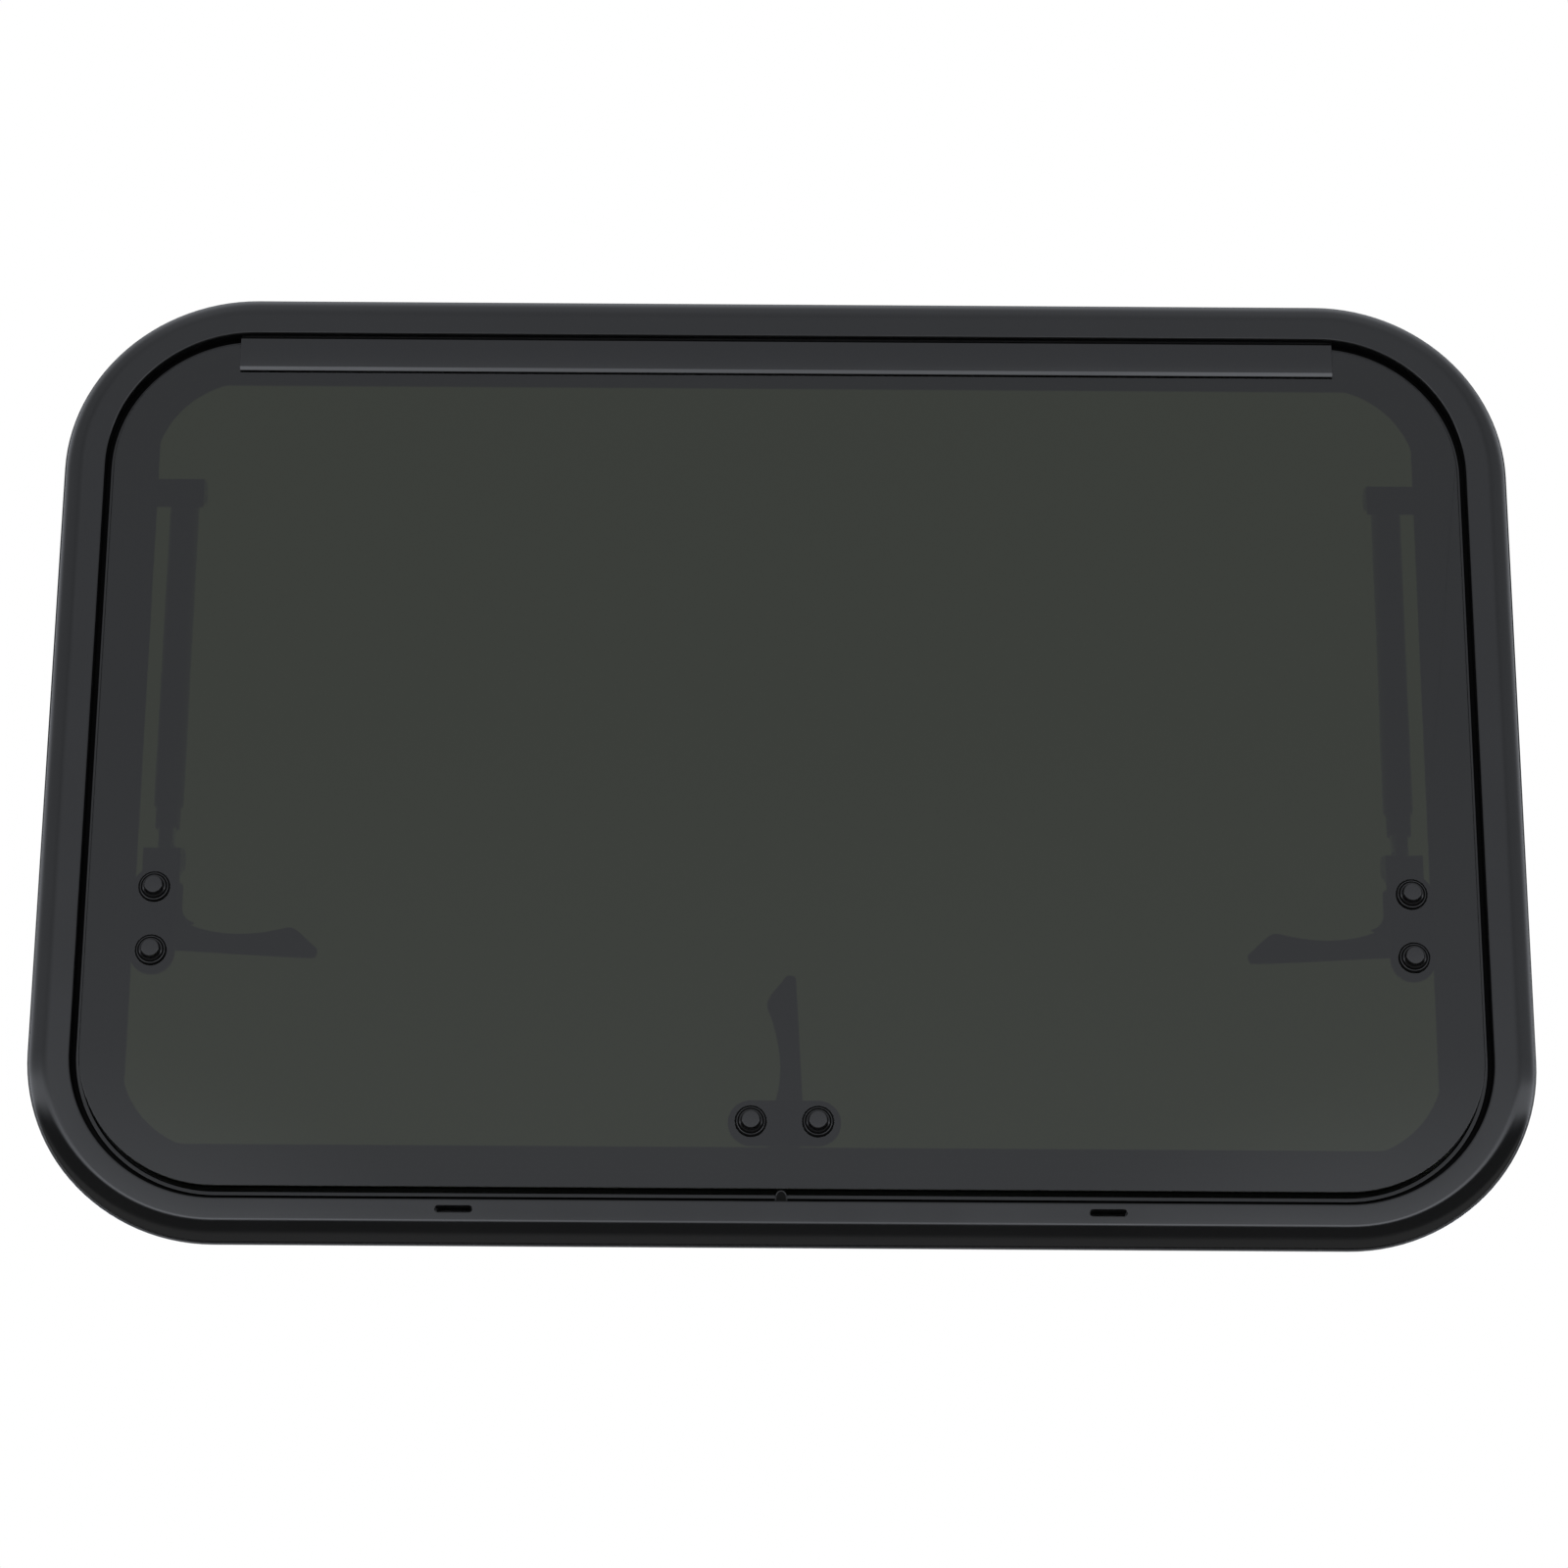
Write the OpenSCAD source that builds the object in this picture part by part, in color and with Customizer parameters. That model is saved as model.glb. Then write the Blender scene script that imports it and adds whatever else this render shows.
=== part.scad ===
// Top-hung caravan window: bent flange frame, tinted glass sash, clamp ring, three catches and two stays.
// Millimetres. X runs along the window, +Y goes indoors and +Z is up. The origin is the middle of the
// lower edge of the wall cut-out, on the flat back face of the outer flange.

/* [Wall cut-out] */
// Width of the hole in the wall
cutout_w = 762; // [700:1:900]
// Height of the hole in the wall
cutout_h = 508; // [480:1:640]
// Corner radius of the hole in the wall
cutout_r = 88; // [80:1:100]
// Play between the frame's neck and the hole
cutout_clear = 2; // [1:0.5:4]
// Thickness of the wall that is clamped
wall_t = 25; // [24:1:32]

/* [Outer frame] */
// How far the flange covers the wall beyond the hole
flange_overlap = 14; // [12:0.5:18]
// How far the flange reaches inwards past the neck
flange_lip = 7; // [6:0.5:9]
// Height of the flange's face above the wall
flange_h = 9; // [8.5:0.5:12]
// Width of the flat band on the flange's face
face_flat = 10.5; // [9:0.5:13]
// Radius of the flange's rounded slope
crown_r = 20; // [16:0.5:30]
// Thickness of the flange where its slope ends
rim_t = 3; // [2.6:0.1:3.6]
// Width of the thin lip beyond the slope
rim_lip_w = 1.1; // [0.8:0.1:1.6]
// Thickness of the thin lip
rim_lip_t = 1.2; // [0.8:0.1:1.6]
// Wall thickness of the neck
neck_wall = 2; // [1.5:0.1:3]
// Depth of the neck behind the wall's outer face
neck_depth = 22; // [20:1:23]
// Length of the screw ridge at the neck's end
ridge_l = 8; // [6:1:10]
// Front of the ledge behind the wall's outer face
ledge_y = 0.5; // [0.2:0.1:1]
// Thickness of the ledge
ledge_t = 2; // [1.5:0.1:3]
// Width of the ledge at the sides
ledge_side = 28.5; // [27.5:0.5:32]
// Width of the ledge at the top
ledge_top = 27.7; // [27.5:0.1:30]
// Width of the ledge at the bottom
ledge_bottom = 30.6; // [28:0.1:31.5]
// Corner radius of the ledge's opening
ledge_r = 34; // [20:1:50]

/* [Drain slots] */
// Distance between the two drain slots
drain_pitch = 338; // [200:1:400]
// Length of a drain slot
drain_l = 19.5; // [12:0.5:30]
// Width of a drain slot
drain_w = 3.7; // [2.5:0.1:4.5]
// Distance of a drain slot from the face's inner edge
drain_in = 5.3; // [4:0.1:7]
// Depth of a drain slot
drain_d = 8.5; // [5:0.5:8.5]

/* [Seals] */
// Width of the seal under the flange
flange_seal_w = 9; // [6:0.5:9]
// Depth of the seal under the flange
flange_seal_t = 2.5; // [1.5:0.1:3]
// Width of the land between the neck and the flange seal
seal_land = 4; // [3:0.5:5]
// Width of the bulb seal that the glass closes on
bulb_w = 8; // [6:0.5:9]
// Distance of the bulb seal from the face's inner edge
bulb_in = 18; // [17.5:0.5:19]
// Width of the base of the lip seal
lip_base_w = 5.5; // [5:0.5:6]
// Thickness of the base of the lip seal
lip_base_t = 1; // [0.6:0.1:1.4]
// Distance of the lip from the inner edge of its base
lip_in = 0.7; // [0.4:0.1:1.2]
// Width of the lip
lip_w = 1.8; // [1.2:0.1:2.2]
// Height of the lip over the ledge
lip_h = 3.1; // [2:0.1:3.4]
// Width of the moulded piece that joins the lip seal's ends
joint_w = 6; // [4:0.5:8]
// Gap left beside and over the joining piece
joint_gap = 0.2; // [0.1:0.05:0.4]

/* [Glass] */
// Thickness of the glass
glass_t = 4; // [3.5:0.1:4.5]
// How far the glass lies behind the flange's face
glass_sink = 1.5; // [1:0.1:2]
// Gap between the glass and the frame at the sides
gap_side = 4.5; // [3:0.1:5]
// Gap between the glass and the frame at the bottom
gap_bottom = 6.5; // [5:0.1:7]
// Gap between the glass and the frame at the top
gap_top = 5.6; // [5.4:0.1:6.5]
// Corner radius of the glass
glass_r = 74; // [60:1:76]
// Radius of the bolt holes in the glass
glass_hole_r = 5; // [4:0.1:6]

/* [Hinge] */
// Length of the hinge strip and its rail
hinge_l = 602; // [400:1:604]
// Height of the strip's front leaf
leaf_h = 19.3; // [16:0.1:22]
// Thickness of the strip's front leaf
leaf_t = 1.6; // [1.4:0.1:2]
// Radius of the leaf's bowed front
leaf_bow_r = 90; // [70:5:140]
// How far the leaf's front bows out
leaf_bow = 0.5; // [0.3:0.1:0.6]
// Height of the slope along the leaf's lower edge
leaf_edge_h = 2.3; // [1.5:0.1:3]
// How far that slope falls back
leaf_edge_d = 0.5; // [0.3:0.05:0.6]
// Gap between the strip's top edge and the frame
leaf_gap = 3.4; // [3:0.1:4]
// Thickness of the strip's clip behind and over the glass
clip_t = 1.1; // [0.8:0.1:1.2]
// How far the clip reaches down behind the glass
clip_h = 6.5; // [4:0.1:7]
// Radius of the bead that turns in the rail
bead_r = 1.4; // [1.2:0.1:1.6]
// Play between the bead and the rail
bead_play = 0.25; // [0.1:0.05:0.4]
// Wall thickness of the rail
rail_t = 1.2; // [1:0.1:1.4]
// Height of the bead's middle under the frame
bead_drop = 2.4; // [2.2:0.1:2.8]
// Distance of the bead's middle in front of the ledge
bead_out = 3.4; // [3.1:0.1:3.6]
// Clearance of the strip where the frame's corners curve down to it
strip_clear = 0.8; // [0.5:0.1:1]

/* [Clamp ring] */
// How far the clamp ring covers the wall beyond the hole
ring_overlap = 6; // [5.5:0.5:8]
// Thickness of the clamp ring
ring_t = 2; // [1.5:0.1:3]
// Thickness of the ring's leg inside the neck
ring_leg_t = 1.7; // [1.4:0.1:2]
// Length of the ring's leg
ring_leg_l = 11; // [8:0.5:12]
// Play between the ring's leg and the frame
ring_play = 0.3; // [0.2:0.1:0.5]

/* [Catches] */
// Distance of a side catch from the glass's side edge
catch_in = 35; // [34.5:0.5:36]
// Height of the side catches above the glass's lower edge
catch_up = 144.7; // [130:0.1:160]
// Height of the bottom catch above the glass's lower edge
bottom_catch_up = 36.2; // [36:0.1:40]
// Sideways place of the bottom catch
bottom_catch_x = 1.5; // [-20:0.5:20]
// Distance between the two bolts of a catch
bolt_pitch = 35; // [33:0.5:38]
// Width of a catch's plate
plate_w = 24; // [22:0.5:24]
// Thickness of a catch's plate
plate_t = 2.2; // [1.6:0.1:2.6]
// Play of a bolt in the pad and the washer
bolt_play = 0.1; // [0.05:0.05:0.3]
// Thickness of the rubber pad under a plate
pad_t = 1; // [0.6:0.1:1.2]
// Radius of the boss that a lever turns on
boss_r = 6.5; // [6:0.1:7]
// Height of the boss over the plate
boss_h = 2.8; // [2.6:0.1:3]
// Radius of the pivot pin
pivot_r = 3; // [2.5:0.1:3.5]
// Play between the pivot pin and its lever
pivot_play = 0.05; // [0.03:0.01:0.08]
// Play between the lever and what holds it endways
lever_play = 0.3; // [0.2:0.05:0.5]
// How far the lever's rest stands out beside a side plate
rest_out = 2.7; // [1.5:0.1:4]
// Length of that rest
rest_l = 30; // [24:1:32]
// How far the rest's foot runs out under the lever
rest_foot = 7; // [4:0.5:9]
// Radius of the pivot pin's head
pivot_head_r = 5.5; // [4.5:0.1:7]
// Thickness of the pivot pin's head
pivot_head_t = 1.6; // [1:0.1:2.5]

/* [Bolt caps] */
// Radius of the rubber washer on the glass
washer_r = 8.35; // [7:0.05:9.5]
// Thickness of the rubber washer
washer_t = 1.2; // [0.8:0.1:1.6]
// Radius of a cap at the washer
cap_r = 6.65; // [6:0.05:7]
// Radius of a cap's flat top
cap_top_r = 4.6; // [4:0.05:5]
// Height of a cap
cap_h = 3.6; // [3:0.1:5]
// Radius of a bolt's shank
bolt_r = 3; // [2.5:0.1:3.5]

/* [Levers] */
// Length of a lever from its hub to its tip
lever_l = 86; // [80:1:92]
// Radius of a lever's hub
hub_r = 11.5; // [10:0.5:12]
// Thickness of a lever's hub
hub_t = 5; // [4:0.5:6]
// Half the width of the blade at its hub
blade_root = 10.2; // [8:0.2:11]
// Thinning of the blade against the hub on each side
blade_step = 0.6; // [0.4:0.1:1]
// Height of the finger nose over the lever's middle line
nose_h = 9.4; // [8:0.2:11]
// Length of the finger nose
nose_l = 18; // [15:1:22]
// Distance of the blade's straight back from the middle line at the tip
back_drop = 5.8; // [4:0.2:7]
// Height of the hub's underside over the ledge's back
hub_rise = 11; // [9:0.5:12]
// Radius of the barrel under the hub
barrel_r = 6; // [5.5:0.1:6.5]
// Length of the tongue from the hub's middle
tongue_l = 20; // [18:0.5:22]
// Width of the tongue
tongue_w = 10; // [8:0.5:11]
// Thickness of the tongue
tongue_t = 4; // [3:0.5:5]
// Gap between the tongue and the ledge that it hooks behind
tongue_gap = 0.8; // [0.5:0.1:1.5]
// Droop of the side levers below level
lever_droop = 6; // [0:1:10]

/* [Stays] */
// Radius of a stay's tube
tube_r = 8; // [7:0.5:8]
// Gap between a stay's tube and the ledge's edge
tube_clear = 5.5; // [4:0.5:6.5]
// Gap between a stay's tube and the plate of its bracket
stay_gap = 0.5; // [0.3:0.1:1.5]
// Depth of a stay's upper pivot under the upper edge of the ledge's opening
stay_top_down = 59.1; // [50:0.1:75]
// Height of a stay's lower pivot above the side catch
stay_foot_up = 39; // [38:0.5:44]
// Radius of a stay's rod
rod_r = 4.9; // [4:0.1:5.5]
// Play between the rod and the tube or collar
rod_play = 0.15; // [0.1:0.05:0.3]
// Height of the tube's lower end over the lower pivot
tube_start = 30.5; // [27:0.5:36]
// Depth of the tube's bore that stays empty over the rod
bore_rest = 70; // [50:1:90]
// Thickness of the tube's closed end
tube_end = 6; // [4:0.5:10]
// Radius of the adjusting collar
collar_r = 6.6; // [6:0.1:7.5]
// Length of the adjusting collar
collar_l = 12.7; // [10:0.1:16]
// Distance between the collar's grip grooves
groove_pitch = 3.2; // [2.5:0.1:4]
// Width of a grip groove
groove_w = 1; // [0.6:0.1:1.4]
// Depth of a grip groove
groove_d = 0.6; // [0.3:0.1:1]
// Radius of a stay's pins
stay_pin_r = 2; // [1.5:0.1:2.5]
// Play between a stay's pin and its eye
stay_pin_play = 0.1; // [0.05:0.05:0.2]
// Radius of the eyes at a stay's ends
eye_r = 6; // [5:0.5:6.5]
// Clearance over an eye
eye_gap = 1; // [0.6:0.1:1.5]
// Thickness of the rod's eye
rod_eye_t = 6; // [5:0.5:7]
// Thickness of the tube's eye
tube_eye_t = 12; // [10:0.5:14]
// Width of the lug that holds the rod
lug_w = 20; // [17:0.5:20]
// How far the lug's plate reaches above the lower pivot
lug_up = 1.5; // [1:0.5:4]
// Height of the foot of the lug's ears
lug_h = 17; // [14:0.5:18]
// Thickness of each ear of the lug
lug_ear = 4; // [3:0.5:5]
// Width of the bracket that holds the tube
bracket_w = 23; // [21:0.5:25]
// Height of the bracket's plate
bracket_h = 16; // [14:0.5:20]
// How far the bracket's plate reaches above the upper pivot
bracket_up = 3.3; // [2:0.1:5]
// Thickness of the bracket's plate and ears
bracket_t = 2.5; // [2:0.1:3]
// How far the bracket reaches outwards past its ears
foot_l = 22; // [18:1:24]
// Width of the screwed foot at its end
foot_w = 16; // [12:1:17]
// How far the foot reaches above and below the plate
foot_more = 4; // [2:0.5:6]

/* [Hidden] */
$fn = 96;

// The reference line of the frame is the inner edge of the flange's face.
face_in = flange_lip + cutout_clear;
ref_w = cutout_w - 2 * face_in;
ref_h = cutout_h - 2 * face_in;
ref_r = cutout_r - face_in;
mid_z = cutout_h / 2;
flange_w = face_in + flange_overlap;
neck_out = flange_lip;
neck_in = neck_out - neck_wall;
ledge_back = ledge_y + ledge_t;
ledge_open_w = ref_w - 2 * ledge_side;
ledge_open_h = ref_h - ledge_top - ledge_bottom;
open_low = face_in + ledge_bottom;

// Centre of the arc that joins the flat band to the rim.
slope_end = flange_w - rim_lip_w;
chord_u = slope_end - face_flat;
chord_v = flange_h - rim_t;
chord = norm([chord_u, chord_v]);
chord_rise = sqrt(crown_r * crown_r - chord * chord / 4);
crown_u = face_flat + chord_u / 2 - chord_rise * chord_v / chord;
crown_v = -flange_h + chord_v / 2 + chord_rise * chord_u / chord;

glass_front = glass_sink - flange_h;
glass_back = glass_front + glass_t;
glass_w = ref_w - 2 * gap_side;
glass_low = face_in + gap_bottom;
glass_high = cutout_h - face_in - gap_top;
glass_h = glass_high - glass_low;
frame_top = cutout_h - face_in;

leaf_top = frame_top - leaf_gap;
bead_y = ledge_y - bead_out;
bead_z = frame_top - bead_drop;

side_x = glass_w / 2 - catch_in;
side_z = glass_low + catch_up;
bottom_z = glass_low + bottom_catch_up;
plate_y = glass_back + pad_t;
plate_top = plate_y + plate_t;
boss_top = plate_top + boss_h;
hub_y = ledge_back + hub_rise;
hub_top = hub_y + hub_t;

stay_x = ledge_open_w / 2 - tube_clear - tube_r;
stay_y = ledge_back + bracket_t + stay_gap + tube_r;
stay_foot = side_z + stay_foot_up;
stay_top = open_low + ledge_open_h - stay_top_down;
tube_low = stay_foot + tube_start;
tube_high = stay_top - eye_r - eye_gap;

// A flat plate drawn in X and Z that fills the depths from y0 to y1.
module slab(y0, y1) {
    translate([0, y1, 0]) rotate([90, 0, 0]) linear_extrude(height = y1 - y0) children();
}

// A cylinder along Y from y0 to y1.
module rod_y(r, y0, y1, r2 = 0) {
    translate([0, y0, 0]) rotate([-90, 0, 0])
        cylinder(r1 = r, r2 = r2 > 0 ? r2 : r, h = y1 - y0);
}

// A cylinder along X, centred on X = 0.
module rod_x(r, length) {
    rotate([0, 90, 0]) cylinder(r = r, h = length, center = true);
}

// A rectangle with round corners, centred.
module round_rect(w, h, r) {
    square([w - 2 * r, h], center = true);
    square([w, h - 2 * r], center = true);
    for (sx = [-1, 1], sz = [-1, 1])
        translate([sx * (w / 2 - r), sz * (h / 2 - r)]) circle(r = r);
}

// Carries a profile round the window: X of the profile is the distance outwards from the
// reference line and Y is the depth.
module sweep() {
    straight_w = ref_w - 2 * ref_r;
    straight_h = ref_h - 2 * ref_r;
    translate([0, 0, mid_z]) {
        for (turn = [0, 180])
            rotate([0, turn, 0]) translate([ref_w / 2, 0, -straight_h / 2])
                linear_extrude(height = straight_h) children();
        for (turn = [90, 270])
            rotate([0, turn, 0]) translate([ref_h / 2, 0, -straight_w / 2])
                linear_extrude(height = straight_w) children();
        for (corner = [[1, -1, 0], [-1, -1, 90], [-1, 1, 180], [1, 1, 270]])
            translate([corner[0] * straight_w / 2, 0, corner[1] * straight_h / 2])
                rotate([0, corner[2], 0]) rotate([-90, 0, 0])
                    rotate_extrude(angle = 90) translate([ref_r, 0]) children();
    }
}

// Section of the bent frame: face, rounded slope, rim lip, seal groove, neck and screw ridge.
module frame_profile() {
    difference() {
        union() {
            intersection() {
                translate([0, -flange_h]) square([slope_end, flange_h]);
                union() {
                    translate([0, -flange_h]) square([face_flat, flange_h]);
                    translate([crown_u, crown_v]) circle(r = crown_r);
                }
            }
            translate([slope_end - 1, -rim_lip_t]) square([rim_lip_w + 1, rim_lip_t]);
            translate([neck_in, -1]) square([neck_wall, neck_depth + 1]);
            translate([0, neck_depth - ridge_l]) square([neck_out, ridge_l]);
            translate([0, -1]) square([neck_out, ledge_back + 1]);
        }
        translate([neck_out + seal_land, -flange_seal_t]) square([flange_seal_w, flange_seal_t + 1]);
    }
}

// A drain slot opens in the face and leads up to the channel under the glass.
module drain() {
    slot_z = face_in - drain_in;
    slab(-flange_h - 1, drain_d - flange_h) translate([0, slot_z]) {
        square([drain_l - drain_w, drain_w], center = true);
        for (s = [-1, 1]) translate([s * (drain_l - drain_w) / 2, 0]) circle(d = drain_w);
    }
    translate([-(drain_l - drain_w) / 2, drain_d - flange_h - drain_w / 2, slot_z])
        cube([drain_l - drain_w, drain_w / 2, drain_in + 1]);
}

module outer_frame() {
    color([0.15, 0.15, 0.16]) difference() {
        union() {
            sweep() frame_profile();
            slab(ledge_y, ledge_back) difference() {
                translate([0, mid_z]) round_rect(ref_w + 2, ref_h + 2, ref_r + 1);
                translate([0, open_low + ledge_open_h / 2])
                    round_rect(ledge_open_w, ledge_open_h, ledge_r);
            }
        }
        for (s = [-1, 1]) translate([s * drain_pitch / 2, 0, 0]) drain();
    }
}

module flange_seal() {
    color([0.08, 0.08, 0.08]) sweep()
        translate([neck_out + seal_land, -flange_seal_t]) square([flange_seal_w, flange_seal_t]);
}

// The ring lies on the inner wall and its leg slides inside the frame's screw ridge.
module clamp_ring() {
    leg_out = -ring_play;
    leg_in = leg_out - ring_leg_t;
    color([0.13, 0.13, 0.14]) sweep() {
        translate([leg_in, wall_t]) square([face_in + ring_overlap - leg_in - ring_t / 2, ring_t]);
        translate([face_in + ring_overlap - ring_t / 2, wall_t + ring_t / 2]) circle(d = ring_t);
        translate([leg_in, wall_t - ring_leg_l]) square([ring_leg_t, ring_leg_l + ring_t]);
    }
}

module bolt_places() {
    for (s = [-1, 1]) {
        for (side = [-1, 1])
            translate([side * side_x, side_z + s * bolt_pitch / 2]) children();
        translate([bottom_catch_x + s * bolt_pitch / 2, bottom_z]) children();
    }
}

module sash_glass() {
    color([0.16, 0.18, 0.17, 0.75]) slab(glass_front, glass_back) difference() {
        translate([0, (glass_low + glass_high) / 2]) round_rect(glass_w, glass_h, glass_r);
        bolt_places() circle(r = glass_hole_r);
    }
}

// The bulb stands on the ledge and the glass closes on its crown.
module bulb_seal() {
    bulb_h = ledge_y - glass_back;
    foot = bulb_h / 2;
    color([0.07, 0.07, 0.07]) sweep() translate([-bulb_in - bulb_w / 2, 0]) {
        translate([-bulb_w / 2, ledge_y - foot]) square([bulb_w, foot]);
        intersection() {
            translate([-bulb_w / 2, glass_back]) square([bulb_w, bulb_h]);
            translate([0, glass_back + bulb_w / 2]) circle(d = bulb_w);
        }
    }
}

// The lip seal lies in the corner behind the gap and stops at the hinge rail.
module lip_seal() {
    color([0.12, 0.12, 0.12]) difference() {
        sweep() {
            translate([-lip_base_w, ledge_y - lip_base_t]) square([lip_base_w, lip_base_t]);
            translate([lip_in - lip_base_w, ledge_y - lip_h + lip_w / 2]) {
                square([lip_w, lip_h - lip_w / 2]);
                translate([lip_w / 2, 0]) circle(d = lip_w);
            }
        }
        translate([-hinge_l / 2 - 1, -flange_h, frame_top - lip_base_w - 1])
            cube([hinge_l + 2, 2 * flange_h, lip_base_w + 2]);
        translate([-joint_w / 2 - joint_gap, -flange_h, face_in - 1])
            cube([joint_w + 2 * joint_gap, 2 * flange_h, lip_base_w + 2]);
    }
}

module lip_seal_joint() {
    joint_h = gap_bottom - joint_gap;
    color([0.06, 0.06, 0.06]) translate([0, 0, face_in]) {
        slab(glass_front, ledge_y) {
            translate([-joint_w / 2, 0]) square([joint_w, joint_h - joint_w / 2]);
            translate([0, joint_h - joint_w / 2]) circle(d = joint_w);
        }
    }
}

// Section of the hinge rail in Y and Z: a slotted tube on a foot under the frame's top.
module rail_profile() {
    rail_r = bead_r + bead_play + rail_t;
    slot_back = max(bead_y + clip_t / 2, glass_back + clip_t) + bead_play;
    difference() {
        intersection() {
            union() {
                translate([bead_y, bead_z]) circle(r = rail_r);
                translate([bead_y - rail_r, frame_top - 1]) square([2 * rail_r, 1]);
            }
            translate([bead_y - 2 * rail_r, bead_z - rail_r - 1])
                square([ledge_y - bead_y + 2 * rail_r, frame_top - bead_z + rail_r + 1]);
        }
        translate([bead_y, bead_z]) circle(r = bead_r + bead_play);
        translate([bead_y - rail_r, bead_z - rail_r - 1])
            square([slot_back - bead_y + rail_r, rail_r + 1]);
    }
}

// Depth of the leaf's bowed front at height z.
function bow(z) =
    glass_front - leaf_t - leaf_bow + leaf_bow_r
    - sqrt(pow(leaf_bow_r, 2) - pow(z - leaf_top + leaf_h / 2, 2));

// Section of the hinge strip in Y and Z: front leaf, bead on its stalk, and clip round the glass.
module strip_profile() {
    low = leaf_top - leaf_h;
    edge = low + leaf_edge_h;
    web = glass_high + clip_t;
    steps = 12;
    turn = asin(clip_t / 2 / bead_r);
    polygon(concat(
        [[glass_front, low], [bow(low) + leaf_edge_d, low]],
        [for (i = [0 : steps]) let (z = edge + (leaf_top - edge) * i / steps) [bow(z), z]],
        [[glass_front, leaf_top], [glass_front, web], [bead_y - clip_t / 2, web]],
        [for (i = [0 : 2 * steps]) let (a = 270 - turn - (360 - 2 * turn) * i / (2 * steps))
            [bead_y + bead_r * cos(a), bead_z + bead_r * sin(a)]],
        [[bead_y + clip_t / 2, web], [glass_back + clip_t, web]],
        [[glass_back + clip_t, glass_high - clip_h], [glass_back, glass_high - clip_h]],
        [[glass_back, glass_high], [glass_front, glass_high]]
    ));
}

// Carries a section drawn in Y and Z along the hinge.
module along_hinge() {
    translate([-hinge_l / 2, 0, 0]) rotate([90, 0, 90]) linear_extrude(height = hinge_l) children();
}

// All that lies at least this far inside the frame's reference line.
module inside_frame(inset) {
    slab(-2 * flange_h, 2 * flange_h) translate([0, mid_z])
        round_rect(ref_w - 2 * inset, ref_h - 2 * inset, ref_r - inset);
}

module hinge_rail() {
    color([0.1, 0.1, 0.1]) intersection() {
        along_hinge() rail_profile();
        inside_frame(0);
    }
}

module hinge_strip() {
    color([0.13, 0.13, 0.14]) intersection() {
        along_hinge() strip_profile();
        inside_frame(strip_clear);
    }
}

// Outline of a catch's plate, lying along X with its bolts on X.
module plate_outline() {
    square([bolt_pitch, plate_w], center = true);
    for (s = [-1, 1]) translate([s * bolt_pitch / 2, 0]) circle(d = plate_w);
}

// Puts a catch at its place: the bottom one lies and the side ones stand.
module at_left() { translate([-side_x, 0, side_z]) children(); }
module at_right() { mirror([1, 0, 0]) at_left() children(); }
module at_bottom() { translate([bottom_catch_x, 0, bottom_z]) children(); }

module catch_pad(stand) {
    color([0.05, 0.05, 0.05]) rotate([0, stand, 0]) slab(glass_back, plate_y) difference() {
        plate_outline();
        for (s = [-1, 1]) translate([s * bolt_pitch / 2, 0]) circle(r = bolt_r + bolt_play);
    }
}

module catch_plate(stand) {
    color([0.14, 0.14, 0.15]) rotate([0, stand, 0]) slab(plate_y, plate_top) plate_outline();
    color([0.14, 0.14, 0.15]) difference() {
        rod_y(boss_r, plate_top, boss_top);
        rod_y(pivot_r, plate_top, boss_top + 1);
    }
}

// Outline of a clevis's ear in -Z and Y, with its pivot at Z = 0: it narrows from its foot at depth y0.
module ear_outline(y0, foot_low, foot_high) {
    polygon([[-foot_low, y0], [-foot_high, y0], [-eye_r, stay_y], [eye_r, stay_y]]);
    translate([0, stay_y]) circle(r = eye_r);
}

// A pair of such ears, this wide over all.
module ears(w, t, y0, foot_low, foot_high) {
    for (s = [-1, 1]) translate([s * (w - t) / 2, 0, 0]) rotate([0, 90, 0])
        linear_extrude(height = t, center = true) ear_outline(y0, foot_low, foot_high);
}

// Rest beside a side plate, which runs out in a hollow curve under the lever.
module lever_rest() {
    side = plate_w / 2;
    out = side + rest_out;
    polygon(concat(
        [[side - 1, -rest_l / 4], [side - 1, 3 * rest_l / 4], [out, 3 * rest_l / 4 - rest_out]],
        arc_row([out, rest_l / 4], [out, rest_l / 8], [out + rest_foot / 3, 0], [out + rest_foot, -1])
    ));
}

// The side plates grow into a two-eared lug for the stay's rod.
module side_plate() {
    lug_x = side_x - stay_x;
    lug_z = stay_foot - side_z;
    color([0.14, 0.14, 0.15]) difference() {
        union() {
            catch_plate(90);
            slab(plate_y, plate_top) {
                translate([lug_x - lug_w / 2, 0]) square([lug_w, lug_z + lug_up]);
                lever_rest();
            }
            translate([lug_x, 0, lug_z]) ears(lug_w, lug_ear, plate_y, lug_up - lug_h, lug_up);
        }
        translate([lug_x, stay_y, lug_z]) rod_x(stay_pin_r + stay_pin_play, lug_w + 2);
    }
}

// A bolt turns on Y: cap outside, shank through the glass and the pad to the plate.
module catch_bolts(stand) {
    color([0.12, 0.12, 0.13]) rotate([0, stand, 0])
        for (s = [-1, 1]) translate([s * bolt_pitch / 2, 0, 0]) {
            cap_base = glass_front - washer_t;
            rod_y(cap_top_r, cap_base - cap_h, cap_base, cap_r);
            rod_y(bolt_r, cap_base, plate_y);
        }
}

module catch_washers(stand) {
    color([0.04, 0.04, 0.04]) rotate([0, stand, 0])
        for (s = [-1, 1]) translate([s * bolt_pitch / 2, 0, 0]) difference() {
            rod_y(washer_r, glass_front - washer_t, glass_front);
            rod_y(bolt_r + bolt_play, glass_front - washer_t - 1, glass_front + 1);
        }
}

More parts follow.
